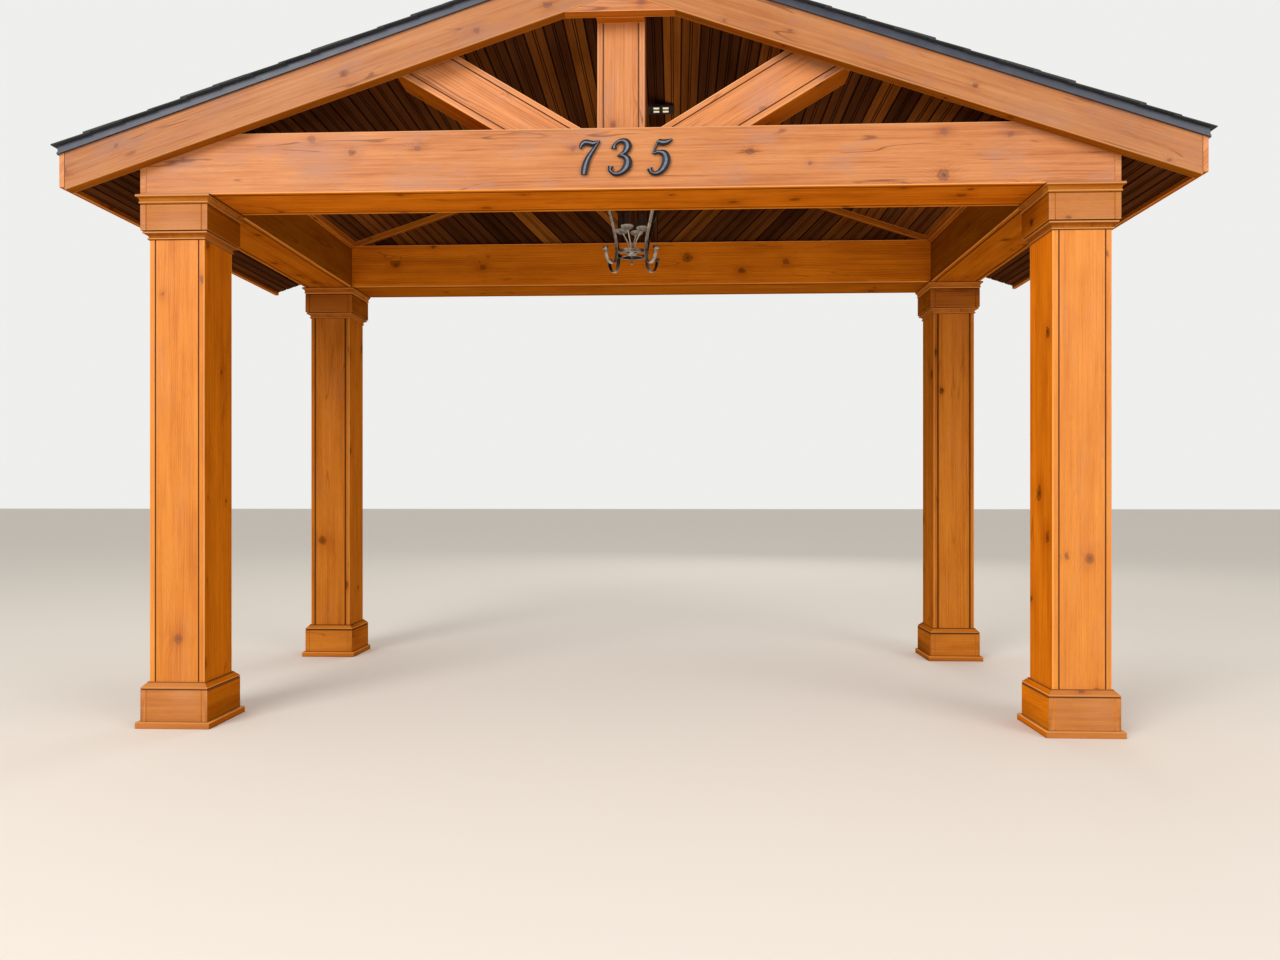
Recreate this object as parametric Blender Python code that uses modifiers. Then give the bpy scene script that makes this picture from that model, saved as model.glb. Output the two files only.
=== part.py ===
# Porch canopy: a gabled timber roof on four boxed posts, standing against a house wall.
# Metres, +Z up, +Y towards the wall, +X to the right seen from the front.
# The origin is on the ground, under the middle of the roof.
import bmesh
import bpy
from math import atan, cos, hypot, pi, sin, sqrt
from mathutils import Matrix

# Plan, heights and pitch
post_span_width = 3.730
post_run_depth = 1.686
beam_under_height = 2.225
beam_height = 0.250
shaft_width = 0.235
wrap_thickness = 0.025
eave_overhang_width = 0.291
roof_rise_share = 1 / 3
fit_gap = 0.0003

# Eased edges and the fine joints between wrap boards
edge_ease_width = 0.002
joint_width = 0.004
joint_depth = 0.003

# Post base, from the ground up
shoe_reach = 0.0145
shoe_height = 0.027
plinth_height = 0.134
cap_edge_height = 0.007
cap_height = 0.028
cap_top_reach = 0.006

# Capital, from the beam down
crown_reach = 0.0145
crown_lip_height = 0.009
crown_height = 0.036
crown_bead_reach = 0.005
crown_bead_height = 0.009
block_height = 0.110
shadow_gap_height = 0.005
neck_reach = 0.020
neck_lip_height = 0.006
neck_height = 0.036
neck_bead_reach = 0.006
neck_bead_height = 0.009
curve_steps = 5

# Gable truss
king_width = 0.196
strut_width = 0.190
strut_foot_reach = 0.037
strut_rise_share = 0.60
apex_plate_height = 0.075

# Roof edge and layers, measured straight down at any point of the slope
ceiling_clear_height = 0.016
rake_lip_height = 0.065
roof_build_height = 0.122
rake_thickness = 0.050
ceiling_thickness = 0.016
fascia_thickness = 0.0215
fascia_lift_height = 0.009
soffit_clear_height = 0.019
drip_height = 0.034
drip_thickness = 0.004
drip_kick_reach = 0.006
drip_kick_height = 0.008
shingle_thickness = 0.018
shingle_overhang_width = 0.012
ridge_cap_width = 0.300
ridge_cap_thickness = 0.008

# Gable infill over the back beam, and the trims along the ceiling
infill_thickness = 0.016
infill_setback_depth = 0.026
trim_height = 0.034
side_trim_width = 0.020

# Hanging lantern
rose_radius = 0.065
rose_height = 0.030
stem_radius = 0.008
stem_height = 0.230
hub_radius = 0.022
hub_height = 0.040
cage_height = 0.514
arm_reach = 0.106
strap_width = 0.022
strap_thickness = 0.006
hook_roll_radius = 0.009
hoop_radius = 0.086
hoop_height = 0.018
hoop_thickness = 0.006
boss_radius = 0.028
boss_height = 0.016
boss_foot_share = 0.6
finial_stem_radius = 0.004
finial_ball_radius = 0.007
finial_height = 0.050
spoke_radius = 0.004
pan_radius = 0.033
pan_height = 0.020
pan_wall_thickness = 0.002
pan_rise_height = 0.101
pan_reach = 0.060
pan_stem_radius = 0.0035
pan_turn = -0.38
candle_hub_radius = 0.026
candle_hub_height = 0.026
candle_hub_top_share = 0.45
candle_radius = 0.010
candle_height = 0.085
stem_foot_share = 0.30
stem_knee_share = 0.45

# Ceiling vent
vent_width = 0.130
vent_length = 0.100
vent_height = 0.010
vent_clear_height = 0.003
vent_reach = 0.1495
vent_wall_depth = 0.9405
vent_block_width = 0.050
vent_block_length = 0.030
vent_block_setback_depth = 0.028
vent_cell_width = 0.032
vent_cell_length = 0.028
vent_cell_pitch_width = 0.0485
vent_cell_pitch_length = 0.040
vent_cell_depth = 0.005

# Overrun of the cutters past what they cut, and the weld of loose caps
overrun_length = 0.500
weld_distance = 0.000001

# Derived sizes
beam_width = shaft_width + 2 * wrap_thickness
beam_top = beam_under_height + beam_height
beam_half_span = (post_span_width + beam_width) / 2
side_inner = (post_span_width - beam_width) / 2
ceiling_ridge = beam_top + ceiling_clear_height + roof_rise_share * side_inner
rake_ridge = ceiling_ridge - rake_lip_height
deck_ridge = ceiling_ridge + roof_build_height
fascia_ridge = rake_ridge + fascia_lift_height
soffit_ridge = fascia_ridge + soffit_clear_height
slope_stretch = hypot(1, roof_rise_share)
rake_end = beam_half_span + eave_overhang_width
soffit_inner = beam_half_span + fit_gap
fascia_inner = rake_end + fit_gap
fascia_outer = fascia_inner + fascia_thickness
shingle_end = fascia_outer + drip_thickness + drip_kick_reach + shingle_overhang_width
front_reach = drip_thickness + drip_kick_reach + shingle_overhang_width
depth = post_run_depth + beam_width + rake_thickness + front_reach
wall_y = depth / 2
roof_front_y = -depth / 2
back_post_y = wall_y - beam_width / 2
front_post_y = back_post_y - post_run_depth
beam_front_y = front_post_y - beam_width / 2
back_beam_front_y = back_post_y - beam_width / 2
rake_front_y = beam_front_y - rake_thickness

# Turns from an outline's own axes to the canopy's: seen from the front, and from the side
upright = Matrix.Rotation(pi / 2, 4, "X")
across = Matrix.Rotation(pi / 2, 4, "Z") @ upright

# Strap line of one lantern arm: shares of its reach at the hoop outwards and of the cage height up
arm_shares = (
    (0.18, 1.000),
    (0.90, 0.945),
    (1.50, 0.800),
    (1.68, 0.600),
    (1.49, 0.397),
    (1.15, 0.190),
    (1.01, 0.060),
    (1.00, -0.045),
    (1.10, -0.112),
    (1.31, -0.137),
    (1.54, -0.108),
    (1.67, -0.050),
    (1.69, 0.000),
)


def make_material(name, colour, roughness, metallic=0.0):
    made = bpy.data.materials.new(name)
    made.use_nodes = True
    shader = made.node_tree.nodes["Principled BSDF"]
    shader.inputs["Base Color"].default_value = (*colour, 1.0)
    shader.inputs["Roughness"].default_value = roughness
    shader.inputs["Metallic"].default_value = metallic
    return made


for startup_object in list(bpy.data.objects):
    bpy.data.objects.remove(startup_object)

post_cedar = make_material("post_cedar", (0.52, 0.19, 0.045), 0.55)
face_cedar = make_material("face_cedar", (0.62, 0.27, 0.085), 0.55)
dark_beadboard = make_material("dark_beadboard", (0.085, 0.035, 0.018), 0.60)
roof_framing = make_material("roof_framing", (0.45, 0.31, 0.17), 0.80)
asphalt_shingle = make_material("asphalt_shingle", (0.030, 0.032, 0.034), 0.95)
edge_metal = make_material("edge_metal", (0.10, 0.11, 0.13), 0.45, 0.60)
weathered_bronze = make_material("weathered_bronze", (0.16, 0.14, 0.12), 0.45, 0.80)
pale_enamel = make_material("pale_enamel", (0.62, 0.60, 0.54), 0.50)
vent_black = make_material("vent_black", (0.030, 0.030, 0.032), 0.60)

canopy = bpy.data.collections.new("porch_canopy")
cutters = bpy.data.collections.new("cutters")
for group in (canopy, cutters):
    bpy.context.scene.collection.children.link(group)
cutters.hide_render = True


# Making meshes

def place(name, mesh, surface, location=(0, 0, 0), turn=None, group=None):
    """Puts a mesh in the scene as a named piece, or as a wire cutter."""
    made = bpy.data.objects.new(name, mesh)
    if not mesh.materials:
        mesh.materials.append(surface)
    (group or canopy).objects.link(made)
    made.matrix_world = Matrix.Translation(location) @ (turn or Matrix.Identity(4))
    if group is cutters:
        made.hide_render = True
        made.display_type = "WIRE"
    return made


def evaluated_mesh(item):
    bpy.context.view_layer.update()
    graph = bpy.context.evaluated_depsgraph_get()
    return bpy.data.meshes.new_from_object(item.evaluated_get(graph))


def tidy_mesh(mesh):
    """Welds the loose caps of a curve or a screw, and turns every face outwards."""
    work = bmesh.new()
    work.from_mesh(mesh)
    bmesh.ops.remove_doubles(work, verts=work.verts, dist=weld_distance)
    bmesh.ops.recalc_face_normals(work, faces=work.faces)
    work.to_mesh(mesh)
    work.free()
    return mesh


def mesh_of(item):
    """The welded mesh of a helper object, which is then removed."""
    mesh = tidy_mesh(evaluated_mesh(item))
    bpy.data.objects.remove(item)
    return mesh


def outline_mesh(name, outline, length):
    """A flat outline in local XY, extruded along local Z and centred on it."""
    curve = bpy.data.curves.new(name, "CURVE")
    curve.dimensions = "2D"
    curve.fill_mode = "BOTH"
    curve.extrude = length / 2
    spline = curve.splines.new("POLY")
    spline.points.add(len(outline) - 1)
    for point, (x, y) in zip(spline.points, outline):
        point.co = (x, y, 0, 1)
    spline.use_cyclic_u = True
    helper = bpy.data.objects.new(name, curve)
    canopy.objects.link(helper)
    return mesh_of(helper)


def screw_mesh(name, profile, steps, closed=False):
    """A profile of (radius, height) turned about Z; four steps give a square moulding."""
    mesh = bpy.data.meshes.new(name)
    edges = [(index, index + 1) for index in range(len(profile) - 1)]
    if closed:
        edges.append((len(profile) - 1, 0))
    mesh.from_pydata([(radius, 0, z) for radius, z in profile], edges, [])
    helper = bpy.data.objects.new(name, mesh)
    canopy.objects.link(helper)
    turn = helper.modifiers.new("turn", "SCREW")
    turn.angle = 2 * pi
    turn.steps = steps
    turn.render_steps = steps
    turn.use_smooth_shade = False
    turn.use_merge_vertices = True
    turn.merge_threshold = weld_distance
    return mesh_of(helper)


def square_moulding_mesh(name, profile, hole_half_width):
    """A mitred square ring: profile points are (half width, height) down the outer side."""
    around = list(profile)
    around.append((hole_half_width, profile[-1][1]))
    around.append((hole_half_width, profile[0][1]))
    mesh = screw_mesh(name, [(half * sqrt(2), z) for half, z in around], 4, closed=True)
    mesh.transform(Matrix.Rotation(pi / 4, 4, "Z"))
    return mesh


def bar_mesh(name, line, bar_radius, half_width=0.0):
    """A rod along (x, z) points, or a flat strap where it is given a half width."""
    curve = bpy.data.curves.new(name, "CURVE")
    curve.dimensions = "2D"
    curve.fill_mode = "NONE"
    curve.bevel_depth = bar_radius
    curve.extrude = half_width
    curve.bevel_resolution = 1
    curve.use_fill_caps = True
    spline = curve.splines.new("POLY")
    spline.points.add(len(line) - 1)
    for point, (x, z) in zip(spline.points, line):
        point.co = (x, z, 0, 1)
    helper = bpy.data.objects.new(name, curve)
    canopy.objects.link(helper)
    mesh = mesh_of(helper)
    mesh.transform(upright)
    return mesh


def box_mesh(name, width, length, height):
    work = bmesh.new()
    bmesh.ops.create_cube(work, size=1)
    bmesh.ops.scale(work, vec=(width, length, height), verts=work.verts)
    mesh = bpy.data.meshes.new(name)
    work.to_mesh(mesh)
    work.free()
    return mesh


def boolean(item, other, operation="DIFFERENCE"):
    change = item.modifiers.new(other.name, "BOOLEAN")
    change.operation = operation
    change.solver = "EXACT"
    change.object = other


def ease_edges(item):
    """A small chamfer on every square edge of a board."""
    ease = item.modifiers.new("eased_edges", "BEVEL")
    ease.width = edge_ease_width
    ease.segments = 1
    ease.limit_method = "ANGLE"


def front_board(name, outline, y_from, y_to, surface, group=None):
    """A board whose outline is seen from the front, in (x, z)."""
    mesh = outline_mesh(name, outline, y_to - y_from)
    return place(name, mesh, surface, (0, (y_from + y_to) / 2, 0), upright, group)


def slope_point(side, x, ridge_height):
    """A point of a roof plane seen from the front; the plane is given by its height at the ridge."""
    return (side * x, ridge_height - roof_rise_share * x)


def slope_outline(side, x_from, x_to, ridge_low, ridge_high):
    """The front outline of a roof layer between two plumb cuts, on one side of the ridge."""
    return [
        slope_point(side, x_from, ridge_low),
        slope_point(side, x_to, ridge_low),
        slope_point(side, x_to, ridge_high),
        slope_point(side, x_from, ridge_high),
    ]


def wrapped_outline(width, height, jointed_sides):
    """A boxed section with eased corners and a fine joint where each captured board ends."""
    half_width = width / 2
    half_height = height / 2
    joint_at = half_width - wrap_thickness
    lower = [(-half_width, -half_height + edge_ease_width), (-half_width + edge_ease_width, -half_height)]
    if "under" in jointed_sides:
        for centre in (-joint_at, joint_at):
            lower.append((centre - joint_width / 2, -half_height))
            lower.append((centre, -half_height + joint_depth))
            lower.append((centre + joint_width / 2, -half_height))
    lower.append((half_width - edge_ease_width, -half_height))
    lower.append((half_width, -half_height + edge_ease_width))
    upper = [(half_width, half_height - edge_ease_width), (half_width - edge_ease_width, half_height)]
    if "over" in jointed_sides:
        for centre in (joint_at, -joint_at):
            upper.append((centre + joint_width / 2, half_height))
            upper.append((centre, half_height - joint_depth))
            upper.append((centre - joint_width / 2, half_height))
    upper.append((-half_width + edge_ease_width, half_height))
    upper.append((-half_width, half_height - edge_ease_width))
    return lower + upper


# Mouldings, as points of (half width, height) from the top down

def cove_points(wide, narrow, top, low):
    """A hollow quarter round that draws in from the wide edge to the narrow one."""
    found = []
    for step in range(curve_steps + 1):
        angle = pi / 2 * step / curve_steps
        half = narrow + (wide - narrow) * (1 - sin(angle))
        found.append((half, low + (top - low) * cos(angle)))
    return found


def bead_points(back, reach, top, low):
    """A half round bead."""
    found = []
    for step in range(curve_steps + 1):
        angle = pi * step / curve_steps
        found.append((back + reach * sin(angle), low + (top - low) * (1 + cos(angle)) / 2))
    return found


# Cutters

def make_cutter(name, outline, y_from, y_to):
    return front_board(name, outline, y_from, y_to, roof_framing, cutters)


def make_roof_cutter():
    """Everything over the line of the ceiling."""
    reach = rake_end + overrun_length
    top = ceiling_ridge + overrun_length
    low = ceiling_ridge - roof_rise_share * reach - fit_gap
    outline = [
        (-reach, low),
        (0, ceiling_ridge - fit_gap),
        (reach, low),
        (reach, top),
        (-reach, top),
    ]
    return make_cutter("roof_cutter", outline, -depth, depth)


def make_sill_cutter():
    """Everything under the top of the front beam, for the feet of the struts."""
    reach = rake_end + overrun_length
    top = beam_top + fit_gap
    outline = [(-reach, 0), (reach, 0), (reach, top), (-reach, top)]
    return make_cutter("sill_cutter", outline, -depth, depth)


def make_wall_cutter():
    """What would stand inside the wall, left off the mouldings of the back posts."""
    reach = rake_end + overrun_length
    low = -overrun_length
    outline = [(-reach, low), (reach, low), (reach, beam_top), (-reach, beam_top)]
    return make_cutter("wall_cutter", outline, wall_y, wall_y + overrun_length)


def cut_panel_joints(item, half_width, low, top):
    """Upright joints where the front and back boards of a wrap are captured."""
    mesh = box_mesh("joint_bar", joint_width / sqrt(2), joint_width / sqrt(2), top - low)
    mesh.transform(Matrix.Rotation(pi / 4, 4, "Z"))
    joint_at = half_width - wrap_thickness
    for x_side in (-1, 1):
        for y_side in (-1, 1):
            name = f"{item.name}_joint_{x_side}_{y_side}"
            spot = (x_side * joint_at, y_side * half_width, (low + top) / 2)
            boolean(item, place(name, mesh, roof_framing, spot, None, cutters))


# Posts

def make_post_meshes():
    """The shaft, base and capital that all four posts share."""
    shaft_top = beam_under_height - fit_gap
    outline = wrapped_outline(shaft_width, shaft_width, ("under", "over"))
    shaft = outline_mesh("shaft", outline, shaft_top)
    shaft.transform(Matrix.Translation((0, 0, shaft_top / 2)))

    shaft_half = shaft_width / 2
    hole = shaft_half + fit_gap
    wrap_half = shaft_half + wrap_thickness
    plinth_top = shoe_height + plinth_height
    base_top = plinth_top + cap_height
    base_profile = [
        (shaft_half + cap_top_reach, base_top),
        (shaft_half + cap_top_reach, base_top - edge_ease_width),
        (wrap_half, plinth_top + cap_edge_height),
        (wrap_half, plinth_top + joint_width / 2),
        (wrap_half - joint_depth, plinth_top),
        (wrap_half, plinth_top - joint_width / 2),
        (wrap_half, shoe_height),
        (wrap_half + shoe_reach - edge_ease_width, shoe_height),
        (wrap_half + shoe_reach, shoe_height - edge_ease_width),
        (wrap_half + shoe_reach, 0),
    ]
    base = place("base_pattern", square_moulding_mesh("base", base_profile, hole), post_cedar, group=cutters)
    cut_panel_joints(base, wrap_half, shoe_height + fit_gap, plinth_top)

    crown_low = shaft_top - crown_height
    block_low = crown_low - block_height
    neck_low = block_low - neck_height
    crown_edge = wrap_half + crown_reach
    neck_edge = shaft_half + neck_reach
    capital_profile = [(crown_edge, shaft_top)]
    capital_profile += cove_points(
        crown_edge, wrap_half + edge_ease_width, shaft_top - crown_lip_height, crown_low + crown_bead_height
    )
    capital_profile += bead_points(wrap_half, crown_bead_reach, crown_low + crown_bead_height, crown_low)
    neck_top = block_low - shadow_gap_height
    capital_profile += [
        (wrap_half - joint_depth, crown_low - joint_width / 2),
        (wrap_half, crown_low - joint_width),
        (wrap_half, block_low),
        (shaft_half + edge_ease_width, block_low),
        (shaft_half + edge_ease_width, neck_top),
        (neck_edge, neck_top),
    ]
    capital_profile += cove_points(
        neck_edge, shaft_half + edge_ease_width, neck_top - neck_lip_height, neck_low + neck_bead_height
    )
    bead_back = shaft_half + edge_ease_width / 2
    capital_profile += bead_points(bead_back, neck_bead_reach, neck_low + neck_bead_height, neck_low)
    capital = place(
        "capital_pattern", square_moulding_mesh("capital", capital_profile, hole), post_cedar, group=cutters
    )
    cut_panel_joints(capital, wrap_half, block_low + fit_gap, crown_low - joint_width / 2)
    return shaft, evaluated_mesh(base), evaluated_mesh(capital)


def make_posts(wall_cutter):
    shaft, base, capital = make_post_meshes()
    for row, y in (("front", front_post_y), ("back", back_post_y)):
        for end, side in (("left", -1), ("right", 1)):
            spot = (side * post_span_width / 2, y, 0)
            place(f"{row}_{end}_shaft", shaft, post_cedar, spot)
            foot = place(f"{row}_{end}_base", base, post_cedar, spot)
            head = place(f"{row}_{end}_capital", capital, post_cedar, spot)
            if row == "back":
                boolean(foot, wall_cutter)
                boolean(head, wall_cutter)


# Beams and gable truss

def make_cross_beam(name, y, roof_cutter):
    """A boxed beam from side to side, with its ends cut to the roof and a joint near each end."""
    outline = wrapped_outline(beam_width, beam_height, ("under",))
    mesh = outline_mesh(name, outline, 2 * beam_half_span)
    middle = beam_under_height + beam_height / 2
    beam = place(name, mesh, face_cedar, (0, y, middle), across)
    boolean(beam, roof_cutter)
    bar = box_mesh("joint_bar", joint_width / sqrt(2), joint_width / sqrt(2), beam_height + overrun_length)
    bar.transform(Matrix.Rotation(pi / 4, 4, "Z"))
    for side in (-1, 1):
        spot = (side * (beam_half_span - wrap_thickness), y - beam_width / 2, middle)
        boolean(beam, place(f"{name}_joint_{side}", bar, roof_framing, spot, None, cutters))


def make_side_beam(name, side, roof_cutter):
    """A boxed beam from front to back, whose top follows the ceiling."""
    height = ceiling_ridge - roof_rise_share * side_inner - beam_under_height + edge_ease_width
    outline = wrapped_outline(beam_width, height, ("under",))
    y_from = front_post_y + beam_width / 2 + fit_gap
    y_to = back_beam_front_y - fit_gap
    mesh = outline_mesh(name, outline, y_to - y_from)
    spot = (side * post_span_width / 2, (y_from + y_to) / 2, beam_under_height + height / 2)
    boolean(place(name, mesh, face_cedar, spot, upright), roof_cutter)


def make_truss(roof_cutter, sill_cutter):
    """The king post on the front beam, its head block, two leaning struts and the apex plate."""
    king_low = beam_top + fit_gap
    king_outline = wrapped_outline(king_width, king_width, ("under", "over"))
    king_mesh = outline_mesh("king_post", king_outline, ceiling_ridge - king_low)
    spot = (0, front_post_y, (king_low + ceiling_ridge) / 2)
    boolean(place("king_post", king_mesh, face_cedar, spot), roof_cutter)

    half = king_width / 2
    block_low = rake_ridge - apex_plate_height
    block_outline = [(-half, block_low), (half, block_low), (half, ceiling_ridge), (-half, ceiling_ridge)]
    block_from = beam_front_y + fit_gap
    block_to = front_post_y - half - fit_gap
    block = front_board("king_head_block", block_outline, block_from, block_to, face_cedar)
    boolean(block, roof_cutter)

    lean = atan(strut_rise_share)
    foot_x = half + strut_foot_reach + strut_width / 2 / sin(lean)
    head_x = (ceiling_ridge - beam_top + strut_rise_share * foot_x) / (strut_rise_share + roof_rise_share)
    head_z = ceiling_ridge - roof_rise_share * head_x
    length = hypot(head_x - foot_x, head_z - beam_top) + 2 * strut_width
    strut_outline = wrapped_outline(strut_width, king_width, ("under", "over"))
    strut_mesh = outline_mesh("strut", strut_outline, length)
    for end, side in (("left", -1), ("right", 1)):
        spot = (side * (foot_x + head_x) / 2, front_post_y, (beam_top + head_z) / 2)
        turn = Matrix.Rotation(side * (pi / 2 - lean), 4, "Y")
        strut = place(f"strut_{end}", strut_mesh, face_cedar, spot, turn)
        boolean(strut, roof_cutter)
        boolean(strut, sill_cutter)

    plate_top = rake_ridge - fit_gap * slope_stretch
    plate_low = rake_ridge - apex_plate_height
    plate_half = (plate_top - plate_low) / roof_rise_share
    plate_outline = [(-plate_half, plate_low), (plate_half, plate_low), (0, plate_top)]
    front_board("apex_plate", plate_outline, rake_front_y, beam_front_y - fit_gap, face_cedar)


# Roof

def make_roof_side(end, side):
    """The boards and layers of one slope, between plumb cuts at the ridge and the eave."""
    mitre = fit_gap / 2
    behind_rake_y = beam_front_y + fit_gap
    rake = slope_outline(side, mitre, rake_end, rake_ridge, deck_ridge)
    ease_edges(front_board(f"rake_board_{end}", rake, rake_front_y, beam_front_y - fit_gap, face_cedar))
    make_ceiling_and_deck(end, side, behind_rake_y)

    fascia_low = fascia_ridge - roof_rise_share * rake_end
    fascia = [
        (side * fascia_inner, fascia_low),
        (side * fascia_outer, fascia_low),
        slope_point(side, fascia_outer, deck_ridge),
        slope_point(side, fascia_inner, deck_ridge),
    ]
    ease_edges(front_board(f"eave_fascia_{end}", fascia, rake_front_y, wall_y, face_cedar))

    shingle_low = deck_ridge + fit_gap
    shingles = slope_outline(side, mitre, shingle_end, shingle_low, shingle_low + shingle_thickness)
    front_board(f"shingles_{end}", shingles, roof_front_y, wall_y, asphalt_shingle)
    make_drip_edges(end, side)


def make_ceiling_and_deck(end, side, y_from):
    """The ceiling, which steps down outside the side beam to the eave soffit, and the deck over it."""
    mitre = fit_gap / 2
    ceiling_top = ceiling_ridge + ceiling_thickness * slope_stretch
    soffit_top = soffit_ridge + ceiling_thickness * slope_stretch
    step_outer = soffit_inner + ceiling_thickness
    ceiling = [
        slope_point(side, mitre, ceiling_ridge),
        slope_point(side, soffit_inner, ceiling_ridge),
        slope_point(side, soffit_inner, soffit_ridge),
        slope_point(side, rake_end, soffit_ridge),
        slope_point(side, rake_end, soffit_top),
        slope_point(side, step_outer, soffit_top),
        slope_point(side, step_outer, ceiling_top),
        slope_point(side, mitre, ceiling_top),
    ]
    front_board(f"ceiling_{end}", ceiling, y_from, wall_y, dark_beadboard)
    deck_step = step_outer + fit_gap
    deck = [
        slope_point(side, mitre, ceiling_top + fit_gap),
        slope_point(side, deck_step, ceiling_top + fit_gap),
        slope_point(side, deck_step, soffit_top + fit_gap),
        slope_point(side, rake_end, soffit_top + fit_gap),
        slope_point(side, rake_end, deck_ridge),
        slope_point(side, mitre, deck_ridge),
    ]
    front_board(f"roof_deck_{end}", deck, y_from, wall_y, roof_framing)


def make_drip_edges(end, side):
    """Bent metal strips on the rake and the eave, with a kick at the foot to shed water."""
    mitre = fit_gap / 2
    low = deck_ridge - drip_height
    face_y = rake_front_y - fit_gap
    outer = fascia_outer + fit_gap + drip_thickness
    leaf = slope_outline(side, mitre, outer, low, deck_ridge)
    rake_drip = front_board(f"rake_drip_{end}", leaf, face_y - drip_thickness, face_y, edge_metal)
    foot = slope_outline(side, mitre, outer, low, low + drip_kick_height)
    foot_from = face_y - drip_thickness - drip_kick_reach
    kick = front_board(f"rake_kick_{end}", foot, foot_from, face_y - drip_thickness / 2, edge_metal, cutters)
    boolean(rake_drip, kick, "UNION")

    inner = fascia_outer + fit_gap
    top_inner = deck_ridge - roof_rise_share * inner
    foot_z = top_inner - drip_height
    eave = [
        (side * inner, top_inner),
        (side * inner, foot_z),
        (side * (outer + drip_kick_reach), foot_z),
        (side * (outer + drip_kick_reach), foot_z + drip_kick_height / 2),
        (side * outer, foot_z + drip_kick_height),
        (side * outer, deck_ridge - roof_rise_share * outer),
    ]
    front_board(f"eave_drip_{end}", eave, rake_front_y, wall_y, edge_metal)


def make_ridge_cap():
    low = deck_ridge + shingle_thickness + 2 * fit_gap
    half = ridge_cap_width / 2
    drop = roof_rise_share * half
    outline = [
        (-half, low - drop),
        (0, low),
        (half, low - drop),
        (half, low - drop + ridge_cap_thickness),
        (0, low + ridge_cap_thickness),
        (-half, low - drop + ridge_cap_thickness),
    ]
    front_board("ridge_cap", outline, roof_front_y, wall_y, asphalt_shingle)


def make_gable_infill():
    """The board that closes the gable at the wall, and the trims along the ceiling."""
    low = beam_top + fit_gap
    top = ceiling_ridge - fit_gap
    half = (top - low) / roof_rise_share
    infill_front_y = back_beam_front_y + infill_setback_depth
    infill = [(-half, low), (half, low), (0, top)]
    front_board("gable_infill", infill, infill_front_y, infill_front_y + infill_thickness, dark_beadboard)

    mitre = fit_gap / 2
    trim_foot = (top - trim_height - low) / roof_rise_share
    side_from = front_post_y + beam_width / 2 + fit_gap
    for end, side in (("left", -1), ("right", 1)):
        trim = [
            (side * mitre, top - trim_height - roof_rise_share * mitre),
            (side * trim_foot, low),
            (side * side_inner, low),
            (side * side_inner, top - roof_rise_share * side_inner),
            (side * mitre, top - roof_rise_share * mitre),
        ]
        front_board(f"gable_trim_{end}", trim, back_beam_front_y, infill_front_y - fit_gap, face_cedar)
        side_trim = slope_outline(
            side, side_inner - side_trim_width, side_inner - fit_gap, top - trim_height, top
        )
        side_to = back_beam_front_y - fit_gap
        front_board(f"ceiling_trim_{end}", side_trim, side_from, side_to, face_cedar)


# Hanging lantern

def smooth_line(points, steps):
    """A Catmull-Rom curve through the points, with equal steps between them."""
    ends = [points[0], *points, points[-1]]
    found = []
    for before, start, stop, after in zip(ends, ends[1:], ends[2:], ends[3:]):
        for step in range(steps):
            t = step / steps
            weights = (
                -t / 2 + t**2 - t**3 / 2,
                1 - 5 * t**2 / 2 + 3 * t**3 / 2,
                t / 2 + 2 * t**2 - 3 * t**3 / 2,
                -(t**2) / 2 + t**3 / 2,
            )
            row = (before, start, stop, after)
            found.append(tuple(sum(w * p[axis] for w, p in zip(weights, row)) for axis in (0, 1)))
    found.append(points[-1])
    return found


def ball_points(ball_radius, middle):
    """The outline of a ball under a stem, from its upper shoulder to its lowest point."""
    found = []
    for step in range(2 * curve_steps):
        angle = pi / 4 + pi * 3 / 4 * step / (2 * curve_steps)
        found.append((ball_radius * sin(angle), middle + ball_radius * cos(angle)))
    found.append((0, middle - ball_radius))
    return found


def bowl_points(rim_radius, top, low):
    """A quarter round from the rim of a bowl down to its middle."""
    found = []
    for step in range(curve_steps):
        angle = pi / 2 * step / curve_steps
        found.append((rim_radius * cos(angle), top - (top - low) * sin(angle)))
    found.append((0, low))
    return found


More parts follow.
